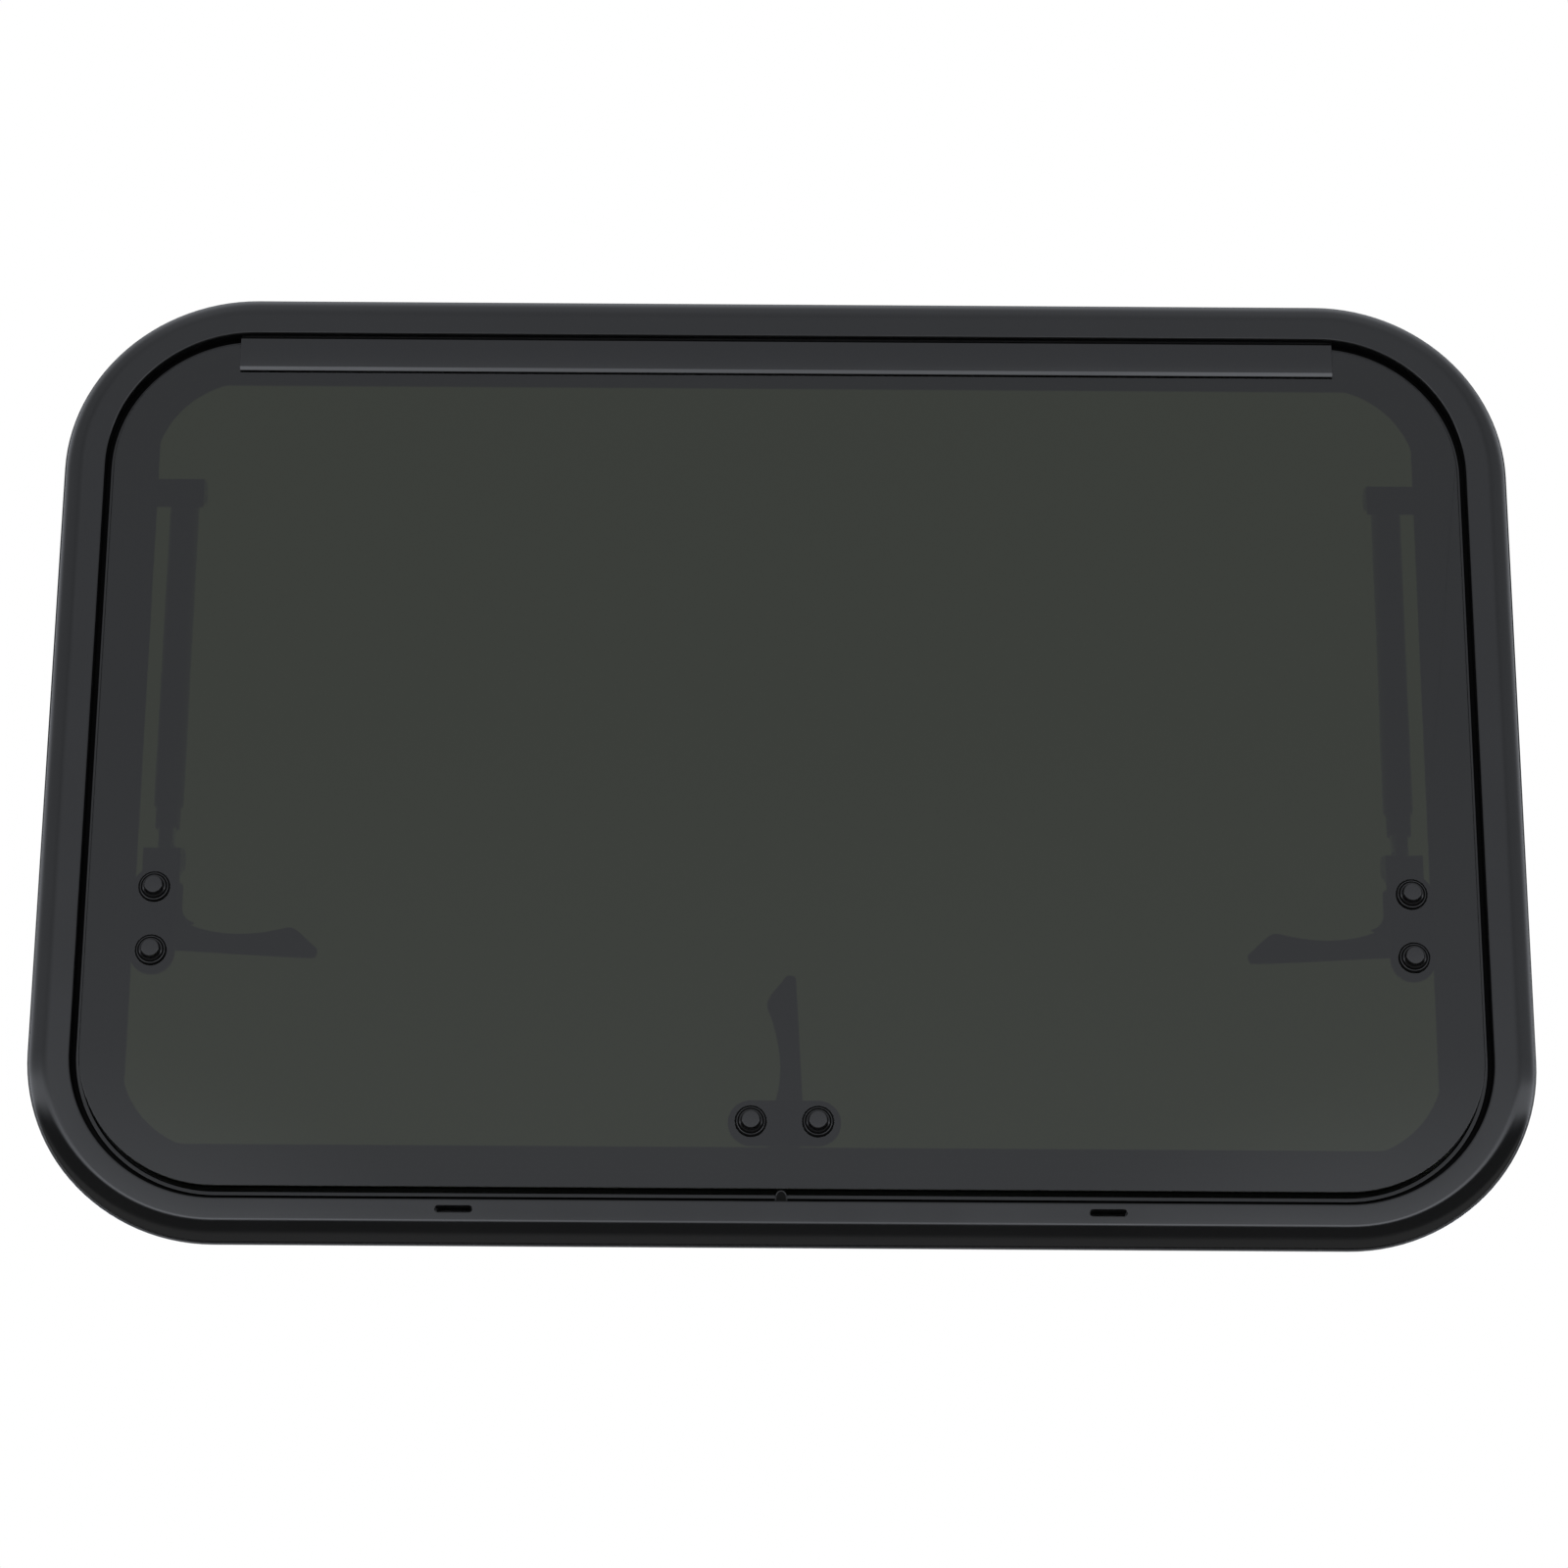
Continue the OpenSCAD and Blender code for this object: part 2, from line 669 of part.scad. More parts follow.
module pivot_pin() {
    color([0.3, 0.3, 0.31]) {
        rod_y(pivot_r, plate_top, hub_top + lever_play);
        rod_y(pivot_head_r, hub_top + lever_play, hub_top + lever_play + pivot_head_t);
    }
}

// A point of a cubic curve.
function curve(a, b, c, d, t) =
    pow(1 - t, 3) * a + 3 * pow(1 - t, 2) * t * b + 3 * (1 - t) * t * t * c + t * t * t * d;

// Such a curve as a row of points.
function arc_row(a, b, c, d, steps = 8) = [for (i = [0 : steps]) curve(a, b, c, d, i / steps)];

// Outline of a lever that points along X: hollow finger side up, straight back down.
module lever_outline() {
    root = [hub_r / 2, blade_root];
    crest = [lever_l - nose_l, nose_h];
    tip = [lever_l - 1, 0];
    back = [lever_l - back_drop + 1, -back_drop];
    finger = arc_row(root, [0.25 * lever_l, -1], [0.55 * lever_l, 1], crest);
    nose = arc_row(crest, crest + [nose_l / 4, nose_h / 4], tip + [-nose_l / 4, nose_h / 4], tip);
    end = arc_row(tip, tip + [2, -2], back + [nose_l / 4, 1], back);
    polygon(concat(finger, nose, end, [[hub_r, -blade_root], [root[0], -blade_root]]));
}

// Side view of the same lever in X and Y: it swells towards the fingers.
module lever_side() {
    swell = 3;
    root = hub_r / 2 - 1;
    tip = lever_l + 1;
    high = hub_top - blade_step;
    low = hub_y + blade_step;
    polygon(concat(
        arc_row([root, high], [0.35 * tip, high - swell / 2], [0.65 * tip, high + swell], [tip, high]),
        arc_row([tip, low + 1], [0.65 * tip, low + blade_step], [0.35 * tip, low], [root, low])
    ));
}

module lever() {
    tongue_y = ledge_back + tongue_gap;
    color([0.13, 0.13, 0.14]) difference() {
        union() {
            intersection() {
                slab(hub_y - 5, hub_top + 5) lever_outline();
                linear_extrude(height = 40, center = true) lever_side();
            }
            rod_y(hub_r, hub_y, hub_top);
            rod_y(barrel_r, boss_top + lever_play, hub_y + 1);
            slab(tongue_y, tongue_y + tongue_t) {
                translate([-tongue_l + tongue_w / 2, -tongue_w / 2])
                    square([tongue_l - tongue_w / 2, tongue_w]);
                translate([-tongue_l + tongue_w / 2, 0]) circle(d = tongue_w);
            }
        }
        rod_y(pivot_r + pivot_play, 0, hub_top + 5);
    }
}

// Bracket of the left stay: a plate with a foot behind the ledge and two ears for the tube's eye.
module stay_bracket() {
    left = -bracket_w / 2 - foot_l;
    low = bracket_up - bracket_h;
    color([0.12, 0.12, 0.12]) translate([-stay_x, 0, stay_top]) difference() {
        union() {
            slab(ledge_back, ledge_back + bracket_t) {
                translate([left, low]) square([foot_l + bracket_w, bracket_h]);
                translate([left, low - foot_more]) square([foot_w, bracket_h + 2 * foot_more]);
            }
            ears(bracket_w, bracket_t, ledge_back, low, bracket_up);
        }
        translate([0, stay_y, 0]) rod_x(stay_pin_r + stay_pin_play, bracket_w + 2);
    }
}

module stay_tube() {
    color([0.1, 0.1, 0.11]) translate([-stay_x, stay_y, 0]) difference() {
        union() {
            translate([0, 0, tube_low]) cylinder(r = tube_r, h = tube_high - tube_low);
            translate([0, 0, stay_top]) rod_x(eye_r, tube_eye_t);
            translate([-tube_eye_t / 2, -eye_r, tube_high - 1])
                cube([tube_eye_t, 2 * eye_r, stay_top - tube_high + 1]);
        }
        translate([0, 0, tube_low - 1])
            cylinder(r = rod_r + rod_play, h = tube_high - tube_low - tube_end + 1);
        translate([0, 0, stay_top]) rod_x(stay_pin_r + stay_pin_play, tube_eye_t + 2);
    }
}

module stay_collar() {
    color([0.14, 0.14, 0.14]) translate([-stay_x, stay_y, tube_low - collar_l]) difference() {
        cylinder(r = collar_r, h = collar_l - rod_play);
        translate([0, 0, -1]) cylinder(r = rod_r + rod_play, h = collar_l + 2);
        for (i = [1 : 3]) translate([0, 0, i * groove_pitch]) difference() {
            cylinder(r = collar_r + 1, h = groove_w);
            translate([0, 0, -1]) cylinder(r = collar_r - groove_d, h = groove_w + 2);
        }
    }
}

// The rod stands clear of the lug's ears on a flat eye.
module stay_rod() {
    rod_low = stay_foot + eye_r + eye_gap;
    rod_high = tube_high - tube_end - bore_rest;
    color([0.45, 0.45, 0.46]) translate([-stay_x, stay_y, 0]) difference() {
        union() {
            translate([0, 0, stay_foot]) rod_x(eye_r, rod_eye_t);
            translate([-rod_eye_t / 2, -rod_r, stay_foot])
                cube([rod_eye_t, 2 * rod_r, rod_low - stay_foot + 1]);
            translate([0, 0, rod_low]) cylinder(r = rod_r, h = rod_high - rod_low);
        }
        translate([0, 0, stay_foot]) rod_x(stay_pin_r + stay_pin_play, rod_eye_t + 2);
    }
}

module stay_pins() {
    color([0.4, 0.4, 0.41]) translate([-stay_x, stay_y, 0]) {
        translate([0, 0, stay_foot]) rod_x(stay_pin_r, lug_w);
        translate([0, 0, stay_top]) rod_x(stay_pin_r, bracket_w);
    }
}

outer_frame();
flange_seal();
clamp_ring();
sash_glass();
bulb_seal();
lip_seal();
lip_seal_joint();
hinge_rail();
hinge_strip();
at_left() catch_pad(90);  // left_catch_pad
at_left() side_plate();  // left_catch_plate
at_left() catch_bolts(90);  // left_catch_bolts
at_left() catch_washers(90);  // left_catch_washers
at_left() pivot_pin();  // left_pivot_pin
at_left() rotate([0, lever_droop, 0]) lever();  // left_lever
at_right() catch_pad(90);  // right_catch_pad
at_right() side_plate();  // right_catch_plate
at_right() catch_bolts(90);  // right_catch_bolts
at_right() catch_washers(90);  // right_catch_washers
at_right() pivot_pin();  // right_pivot_pin
at_right() rotate([0, lever_droop, 0]) lever();  // right_lever
at_bottom() catch_pad(0);  // bottom_catch_pad
at_bottom() catch_plate(0);  // bottom_catch_plate
at_bottom() catch_bolts(0);  // bottom_catch_bolts
at_bottom() catch_washers(0);  // bottom_catch_washers
at_bottom() pivot_pin();  // bottom_pivot_pin
at_bottom() rotate([0, -90, 0]) lever();  // bottom_lever
stay_bracket();  // left_stay_bracket
stay_tube();  // left_stay_tube
stay_collar();  // left_stay_collar
stay_rod();  // left_stay_rod
stay_pins();  // left_stay_pins
mirror([1, 0, 0]) stay_bracket();  // right_stay_bracket
mirror([1, 0, 0]) stay_tube();  // right_stay_tube
mirror([1, 0, 0]) stay_collar();  // right_stay_collar
mirror([1, 0, 0]) stay_rod();  // right_stay_rod
mirror([1, 0, 0]) stay_pins();  // right_stay_pins
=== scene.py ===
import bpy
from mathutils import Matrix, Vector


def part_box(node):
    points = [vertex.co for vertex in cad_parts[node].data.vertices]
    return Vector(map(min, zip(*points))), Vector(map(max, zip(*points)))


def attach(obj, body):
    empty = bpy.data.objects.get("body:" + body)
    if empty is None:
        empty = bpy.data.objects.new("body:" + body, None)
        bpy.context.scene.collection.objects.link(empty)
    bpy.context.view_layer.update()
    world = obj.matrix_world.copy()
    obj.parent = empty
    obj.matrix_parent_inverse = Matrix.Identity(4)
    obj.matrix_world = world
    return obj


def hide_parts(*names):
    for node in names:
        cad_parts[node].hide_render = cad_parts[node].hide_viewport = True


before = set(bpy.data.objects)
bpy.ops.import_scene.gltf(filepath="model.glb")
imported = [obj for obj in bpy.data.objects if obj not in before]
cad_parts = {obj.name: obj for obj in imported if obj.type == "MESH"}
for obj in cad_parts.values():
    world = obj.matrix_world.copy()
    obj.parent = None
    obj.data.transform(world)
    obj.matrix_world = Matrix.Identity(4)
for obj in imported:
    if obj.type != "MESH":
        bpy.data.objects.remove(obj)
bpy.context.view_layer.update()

import math

import bpy
from mathutils import Matrix, Vector

mm = 0.001  # shapes are drawn in millimetres and kept in metres
print("frame loaded,", len(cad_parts), "nodes")


# camera: below the window, looking up at it
camera = {
    "place": (-1.1, -2248.4, -546.7),
    "aim": (0.2, -9, 236.9),
    "roll": 0.352,  # degrees
    "lens": 102.2,
    "sensor": 36,
}


def addCamera():
    bpy.ops.object.select_all(action="DESELECT")
    bpy.ops.object.camera_add(location=Vector(camera["place"]) * mm)
    eye = bpy.context.object
    eye.name = "camera"
    eye.data.lens = camera["lens"]
    eye.data.sensor_width = camera["sensor"]
    look = (Vector(camera["aim"]) - Vector(camera["place"])).to_track_quat("-Z", "Y")
    eye.rotation_mode = "QUATERNION"
    eye.rotation_quaternion = look @ Matrix.Rotation(math.radians(camera["roll"]), 3, "Z").to_quaternion()
    bpy.context.scene.camera = eye


addCamera()
bpy.context.scene.view_settings.view_transform = "Standard"
print("camera set")


# shared modelling helpers
def deselectAll():
    bpy.ops.object.select_all(action="DESELECT")


def pick(*pieces):
    deselectAll()
    for piece in pieces:
        piece.select_set(True)
    bpy.context.view_layer.objects.active = pieces[0]


def editAll(piece):
    pick(piece)
    bpy.ops.object.mode_set(mode="EDIT")
    bpy.ops.mesh.select_all(action="SELECT")


def leaveEdit():
    bpy.ops.object.mode_set(mode="OBJECT")


def selectEdges(piece, wanted):
    # stays in edit mode, with only the wanted edges selected
    editAll(piece)
    bpy.ops.mesh.select_all(action="DESELECT")
    bpy.ops.mesh.select_mode(type="EDGE")
    leaveEdit()
    for edge in piece.data.edges:
        edge.select = wanted(edge)
    bpy.ops.object.mode_set(mode="EDIT")


def leaveEdges():
    bpy.ops.mesh.select_mode(type="VERT")
    leaveEdit()


def closeMesh(piece, merge=0.002):
    # doubles merged first, then every face turned outwards
    editAll(piece)
    bpy.ops.mesh.remove_doubles(threshold=merge * mm)
    bpy.ops.mesh.normals_make_consistent(inside=False)
    leaveEdit()


def modify(piece, kind, **settings):
    pick(piece)
    modifier = piece.modifiers.new(kind.lower(), kind)
    for key, value in settings.items():
        setattr(modifier, key, value)
    bpy.ops.object.modifier_apply(modifier=modifier.name)


def smoothShade(piece, angle=32):
    # large flat faces keep their own normal, so that they mirror as flat
    pick(piece)
    bpy.ops.object.shade_smooth_by_angle(angle=math.radians(angle))
    modify(piece, "WEIGHTED_NORMAL", mode="FACE_AREA", weight=100, keep_sharp=True)


def bevelEdges(piece, width, segments=2, angle=35):
    modify(piece, "BEVEL", width=width * mm, segments=segments, limit_method="ANGLE",
           angle_limit=math.radians(angle), use_clamp_overlap=False, miter_outer="MITER_ARC")


def cutAway(piece, *cutters):
    for cutter in cutters:
        modify(piece, "BOOLEAN", operation="DIFFERENCE", solver="EXACT", object=cutter)
        bpy.data.objects.remove(cutter)


def joinPieces(*pieces):
    pick(*pieces)
    bpy.ops.object.join()
    return pieces[0]


def drawOut(move):
    # what is selected in edit mode is extruded by this move
    bpy.ops.mesh.extrude_region_move(TRANSFORM_OT_translate={"value": Vector(move) * mm})


def addOutline(name, points, closed=True):
    # a ring of loose edges, set point by point on the outline
    deselectAll()
    bpy.ops.mesh.primitive_circle_add(vertices=len(points), radius=0.1)
    piece = bpy.context.object
    piece.name = name
    for vertex, point in zip(piece.data.vertices, points):
        vertex.co = Vector(point) * mm
    if not closed:
        selectEdges(piece, lambda edge: set(edge.vertices) == {0, len(points) - 1})
        bpy.ops.mesh.delete(type="EDGE")
        leaveEdges()
    return piece


def extrudeAll(piece, move):
    # fills the outline and pulls it out into a solid
    editAll(piece)
    bpy.ops.mesh.edge_face_add()
    drawOut(move)
    leaveEdit()
    closeMesh(piece)
    return piece


def box(name, centre, size, turn=0):
    # a plain block; turn is in radians about the depth
    deselectAll()
    bpy.ops.mesh.primitive_cube_add(size=1, location=Vector(centre) * mm, scale=Vector(size) * mm,
                                    rotation=(0, turn, 0))
    bpy.context.object.name = name
    return bpy.context.object


def softCorners(corners, steps=4):
    # each corner is (a, b) or (a, b, reach): a reach rounds it over that length on both sides
    points = []
    count = len(corners)
    for i, corner in enumerate(corners):
        here = Vector(corner[:2])
        reach = corner[2] if len(corner) > 2 else 0
        if not reach:
            points.append(tuple(here))
            continue
        before = Vector(corners[i - 1][:2])
        after = Vector(corners[(i + 1) % count][:2])
        start = here + (before - here).normalized() * reach
        end = here + (after - here).normalized() * reach
        for step in range(steps + 1):
            t = step / steps
            points.append(tuple(start * (1 - t) ** 2 + here * (2 * t * (1 - t)) + end * t ** 2))
    return points


def arc(centre, radius, first, last, steps):
    # angles in degrees
    angles = [math.radians(first + (last - first) * i / steps) for i in range(steps + 1)]
    return [(centre[0] + radius * math.cos(a), centre[1] + radius * math.sin(a)) for a in angles]


def lathe(name, outline, centre, steps=48):
    # outline is (radius, depth) from the axis round to the axis; the axis runs along Y
    piece = addOutline(name, [(centre[0] + r, y, centre[1]) for r, y in outline], closed=False)
    editAll(piece)
    bpy.ops.mesh.spin(steps=steps, angle=2 * math.pi, axis=(0, 1, 0),
                      center=Vector((centre[0], 0, centre[1])) * mm)
    leaveEdit()
    closeMesh(piece)
    return piece


def finishPiece(piece, name, finish, nodes=(), body="frame"):
    piece.name = name
    piece.data.name = name
    piece.data.materials.clear()
    piece.data.materials.append(materials[finish])
    for polygon in piece.data.polygons:
        polygon.material_index = 0
    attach(piece, body)
    if nodes:
        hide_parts(*nodes)
    return piece


def copyNode(node):
    # a free copy of a CAD node, with its loose triangles merged and flat faces cleaned
    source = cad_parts[node]
    piece = bpy.data.objects.new(node + "_soft", source.data.copy())
    bpy.context.scene.collection.objects.link(piece)
    editAll(piece)
    bpy.ops.mesh.customdata_custom_splitnormals_clear()
    bpy.ops.mesh.remove_doubles(threshold=0.004 * mm)
    bpy.ops.mesh.dissolve_limited(angle_limit=math.radians(0.6))
    leaveEdit()
    return piece


def soften(node, finish, width, segments=2):
    piece = copyNode(node)
    bevelEdges(piece, width, segments)
    smoothShade(piece)
    return finishPiece(piece, node + "_soft", finish, [node])


# surface effects that several materials share
def newGroup(name, inputs, outputs):
    tree = bpy.data.node_groups.new(name, "ShaderNodeTree")
    for label, value in inputs.items():
        socket = tree.interface.new_socket(label, in_out="INPUT", socket_type="NodeSocketFloat")
        socket.default_value = value
    for label in outputs:
        tree.interface.new_socket(label, in_out="OUTPUT", socket_type="NodeSocketFloat")
    return tree, tree.nodes.new("NodeGroupInput"), tree.nodes.new("NodeGroupOutput")


def addNode(tree, kind, inputs=None, **settings):
    node = tree.nodes.new(kind)
    for key, value in settings.items():
        setattr(node, key, value)
    for key, value in (inputs or {}).items():
        if isinstance(value, bpy.types.NodeSocket):
            tree.links.new(value, node.inputs[key])
        else:
            node.inputs[key].default_value = value
    return node


def newMaterial(name):
    material = bpy.data.materials.new(name)
    material.use_nodes = True
    tree = material.node_tree
    return material, tree, tree.nodes["Principled BSDF"]


def mixColors(tree, share, a, b):
    inputs = {"Factor": share, "A": a, "B": b}
    return addNode(tree, "ShaderNodeMix", inputs, data_type="RGBA").outputs["Result"]


def mixShaders(tree, share, a, b):
    return addNode(tree, "ShaderNodeMixShader", {0: share, 1: a, 2: b}).outputs["Shader"]


def dotProduct(tree, a, b):
    return addNode(tree, "ShaderNodeVectorMath", {0: a, 1: b}, operation="DOT_PRODUCT").outputs["Value"]


def noise(tree, scale, detail):
    place = addNode(tree, "ShaderNodeTexCoord").outputs["Object"]
    cloud = addNode(tree, "ShaderNodeTexNoise", {"Vector": place, "Scale": scale, "Detail": detail})
    return cloud.outputs["Fac"]


def maths(tree, operation, a, b=0.5, clamp=False):
    node = addNode(tree, "ShaderNodeMath", {0: a, 1: b}, operation=operation, use_clamp=clamp)
    return node.outputs["Value"]


def remap(tree, value, start, end, low=0.0, high=1.0, smooth=False):
    inputs = {"Value": value, "From Min": start, "From Max": end, "To Min": low, "To Max": high}
    kind = "SMOOTHSTEP" if smooth else "LINEAR"
    return addNode(tree, "ShaderNodeMapRange", inputs, interpolation_type=kind).outputs["Result"]


def grainGroup():
    # fine skin of a coated or moulded surface
    tree, source, result = newGroup("fineGrain", {"Scale": 900, "Coarse": 0.3}, ["Height", "Cloud"])
    place = addNode(tree, "ShaderNodeTexCoord").outputs["Object"]
    fine = addNode(tree, "ShaderNodeTexNoise", {"Vector": place, "Scale": source.outputs["Scale"],
                                                "Detail": 3.0, "Roughness": 0.6})
    cells = addNode(tree, "ShaderNodeTexVoronoi", {"Vector": place, "Scale": source.outputs["Scale"]},
                    feature="SMOOTH_F1")
    blend = addNode(tree, "ShaderNodeMix", {"Factor": source.outputs["Coarse"], "A": fine.outputs["Fac"],
                                            "B": cells.outputs["Distance"]})
    tree.links.new(blend.outputs["Result"], result.inputs["Height"])
    tree.links.new(noise(tree, 14.0, 4.0), result.inputs["Cloud"])
    return tree


def wearAndHighlightGroup():
    # edges made a little lighter: partly rubbed wear, partly a painted highlight along the edges
    tree, source, result = newGroup("edgeWearAndHighlight", {"Radius": 0.0006, "Amount": 0.2}, ["Mask"])
    rounded = addNode(tree, "ShaderNodeBevel", {"Radius": source.outputs["Radius"]}, samples=4)
    flat = addNode(tree, "ShaderNodeNewGeometry")
    agree = dotProduct(tree, rounded.outputs["Normal"], flat.outputs["Normal"])
    edge = remap(tree, agree, 0.985, 0.8)
    broken = maths(tree, "MULTIPLY", edge, noise(tree, 60.0, 5.0))
    tree.links.new(maths(tree, "MULTIPLY", broken, source.outputs["Amount"]), result.inputs["Mask"])
    return tree


def dustGroup():
    # a trace of dust on what faces up
    tree, source, result = newGroup("dust", {"Amount": 0.1}, ["Mask"])
    normal = addNode(tree, "ShaderNodeSeparateXYZ",
                     {"Vector": addNode(tree, "ShaderNodeNewGeometry").outputs["Normal"]})
    thin = maths(tree, "MULTIPLY", remap(tree, normal.outputs["Z"], 0.45, 1.0), noise(tree, 700.0, 6.0))
    tree.links.new(maths(tree, "MULTIPLY", thin, source.outputs["Amount"]), result.inputs["Mask"])
    return tree


def lineGroup():
    # drawing lines that run with an extrusion: they vary only across it
    tree, source, result = newGroup("dieLines", {"Pitch": 1800}, ["Height"])
    across = addNode(tree, "ShaderNodeAttribute", attribute_name="across")
    scaled = maths(tree, "MULTIPLY", across.outputs["Fac"], source.outputs["Pitch"])
    lines = addNode(tree, "ShaderNodeTexNoise", {"W": scaled, "Scale": 1.0, "Detail": 4.0},
                    noise_dimensions="1D")
    tree.links.new(lines.outputs["Fac"], result.inputs["Height"])
    return tree


groups = {"grain": grainGroup(), "wearAndHighlight": wearAndHighlightGroup(), "dust": dustGroup(), "lines": lineGroup()}

# the edge value sets how much lighter the edges get, partly wear and partly a painted highlight; the
# frame's 0.5 paints light lines along its edges
coat = {"slot": "frame_black", "color": (0.0052, 0.0054, 0.0058), "rough": 0.13, "spread": 0.03,
        "grain": 1100, "coarse": 0.2, "bump": 0.02, "wearAndHighlight": 0.5, "dust": 0.03, "lines": 0.02,
        "mirror": 0.5, "metal": 0}
plain = {**coat, "lines": 0}
finishes = {
    "frameCoat": coat,
    "stripCoat": {**coat, "color": (0.0052, 0.0054, 0.0059), "rough": 0.14, "dust": 0.02},
    # the rail's coat is the frame's black made darker and duller: painted shade for the rail in the dark
    # gap between the frame and the hinge strip
    "railCoatPaintedShade": {**plain, "color": (0.003, 0.003, 0.003), "rough": 0.5, "spread": 0.05, "bump": 0.03,
                 "wearAndHighlight": 0.1, "dust": 0, "mirror": 0.15},
    "rubber": {**plain, "slot": "seal_rubber", "color": (0.002, 0.002, 0.002), "rough": 0.6, "spread": 0.08,
               "grain": 2200, "coarse": 0.5, "bump": 0.12, "wearAndHighlight": 0, "dust": 0.04, "mirror": 0.06},
    "softLip": {**plain, "slot": "seal_rubber", "color": (0.003, 0.003, 0.003), "rough": 0.14,
                "grain": 2200, "coarse": 0.4, "bump": 0.03, "wearAndHighlight": 0, "dust": 0.02},
    "moulded": {**plain, "slot": "catch_plastic", "color": (0.009, 0.009, 0.0095), "rough": 0.46,
                "spread": 0.08, "grain": 1500, "coarse": 0.7, "bump": 0.16, "wearAndHighlight": 0.3, "dust": 0.08},
    "cap": {**plain, "slot": "cap_black", "color": (0.006, 0.006, 0.0065), "rough": 0.16, "spread": 0.04,
            "grain": 1800, "wearAndHighlight": 0.05, "dust": 0.02},
    "anodised": {**plain, "slot": "stay_black", "color": (0.012, 0.012, 0.0125), "rough": 0.3,
                 "spread": 0.06, "grain": 1600, "coarse": 0.1, "bump": 0.05, "wearAndHighlight": 0.35, "dust": 0.05},
    "zinc": {**plain, "slot": "bright_steel", "color": (0.34, 0.35, 0.36), "rough": 0.34, "spread": 0.12,
             "grain": 1300, "coarse": 0.4, "bump": 0.08, "wearAndHighlight": 0.4, "dust": 0.05, "metal": 1},
}
drift = 0.15  # how far a colour wanders to either side
dustColor = (0.12, 0.115, 0.105, 1)
# edges turn to these lighter colours: partly wear, partly a painted highlight
wornAndHighlightPaint = (0.09, 0.09, 0.095, 1)
wornAndHighlightMetal = (0.6, 0.61, 0.62, 1)


def useGroup(tree, name, inputs=None):
    return addNode(tree, "ShaderNodeGroup", inputs, node_tree=groups[name]).outputs


def solidFinish(name, look):
    material, tree, shader = newMaterial(name)
    shader.inputs["Metallic"].default_value = look["metal"]
    shader.inputs["Specular IOR Level"].default_value = look["mirror"]
    grain = useGroup(tree, "grain", {"Scale": look["grain"], "Coarse": look["coarse"]})
    # colour: a faint cloudiness, then edges made lighter by wear and a painted highlight, then dust
    deep = [c * (1 - drift) for c in look["color"]] + [1]
    pale = [c * (1 + drift) for c in look["color"]] + [1]
    color = mixColors(tree, grain["Cloud"], deep, pale)
    wornAndHighlight = wornAndHighlightMetal if look["metal"] else wornAndHighlightPaint
    color = mixColors(tree, useGroup(tree, "wearAndHighlight", {"Amount": look["wearAndHighlight"]})["Mask"], color, wornAndHighlight)
    color = mixColors(tree, useGroup(tree, "dust", {"Amount": look["dust"]})["Mask"], color, dustColor)
    tree.links.new(color, shader.inputs["Base Color"])
    low, high = look["rough"] - look["spread"], look["rough"] + look["spread"]
    tree.links.new(remap(tree, grain["Cloud"], 0.3, 0.7, low, high), shader.inputs["Roughness"])
    bump = addNode(tree, "ShaderNodeBump", {"Strength": look["bump"], "Distance": 0.0001,
                                            "Height": grain["Height"]})
    if look["lines"]:
        bump = addNode(tree, "ShaderNodeBump", {"Strength": look["lines"], "Distance": 0.0002,
                                                "Height": useGroup(tree, "lines")["Height"],
                                                "Normal": bump.outputs["Normal"]})
    tree.links.new(bump.outputs["Normal"], shader.inputs["Normal"])
    return material


def glassFinish():
    # dark tinted safety glass: what is behind it shows faintly, the front mirrors the room
    material, tree, shader = newMaterial("tintedGlass")
    shader.inputs["Transmission Weight"].default_value = 1
    shader.inputs["IOR"].default_value = 1.52
    cloud = noise(tree, 3.0, 2.0)
    tint = mixColors(tree, cloud, (0.0118, 0.0148, 0.0062, 1), (0.0126, 0.0157, 0.0067, 1))
    tree.links.new(tint, shader.inputs["Base Color"])
    tree.links.new(remap(tree, cloud, 0.35, 0.65, 0.0, 0.02), shader.inputs["Roughness"])
    return material


materials = {name: solidFinish(name, look) for name, look in finishes.items()}
materials["glass"] = glassFinish()
finishes["glass"] = {"slot": "tinted_glass"}
print("materials made:", len(materials))


# the reference line runs round the inner edge of the flange's face
flange = {
    "overhang": 23,  # from the reference line to the rim
    "height": 9,
    "flat": 10.5,  # flat band on the face
    "crown": 20,  # radius of the slope
    "rim": 3,
    "lip": (1.1, 1.2),  # width and thickness
    "neck": (5, 7, 22),  # inside, outside, end
    "ridge": 8,
    "groove": (11, 20, 2.5),  # inside, outside, depth
    "innerEdge": 0.9,
    "crease": (2.5, 2.3),  # how far out its corner lies, and the reach of its round
}
ledge = {"front": 0.5, "back": 2.5, "side": 28.5, "top": 27.7, "bottom": 30.6, "radius": 34}
frameLow, frameHigh = (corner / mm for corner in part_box("outer_frame"))
window = {
    "halfWidth": (frameHigh.x - frameLow.x) / 2 - flange["overhang"],
    "low": frameLow.z + flange["overhang"],
    "high": frameHigh.z - flange["overhang"],
    "radius": 79,
    "cornerSteps": 28,
}
middle = (window["low"] + window["high"]) / 2
straightX = window["halfWidth"] - window["radius"]
straightZ = (window["high"] - window["low"]) / 2 - window["radius"]


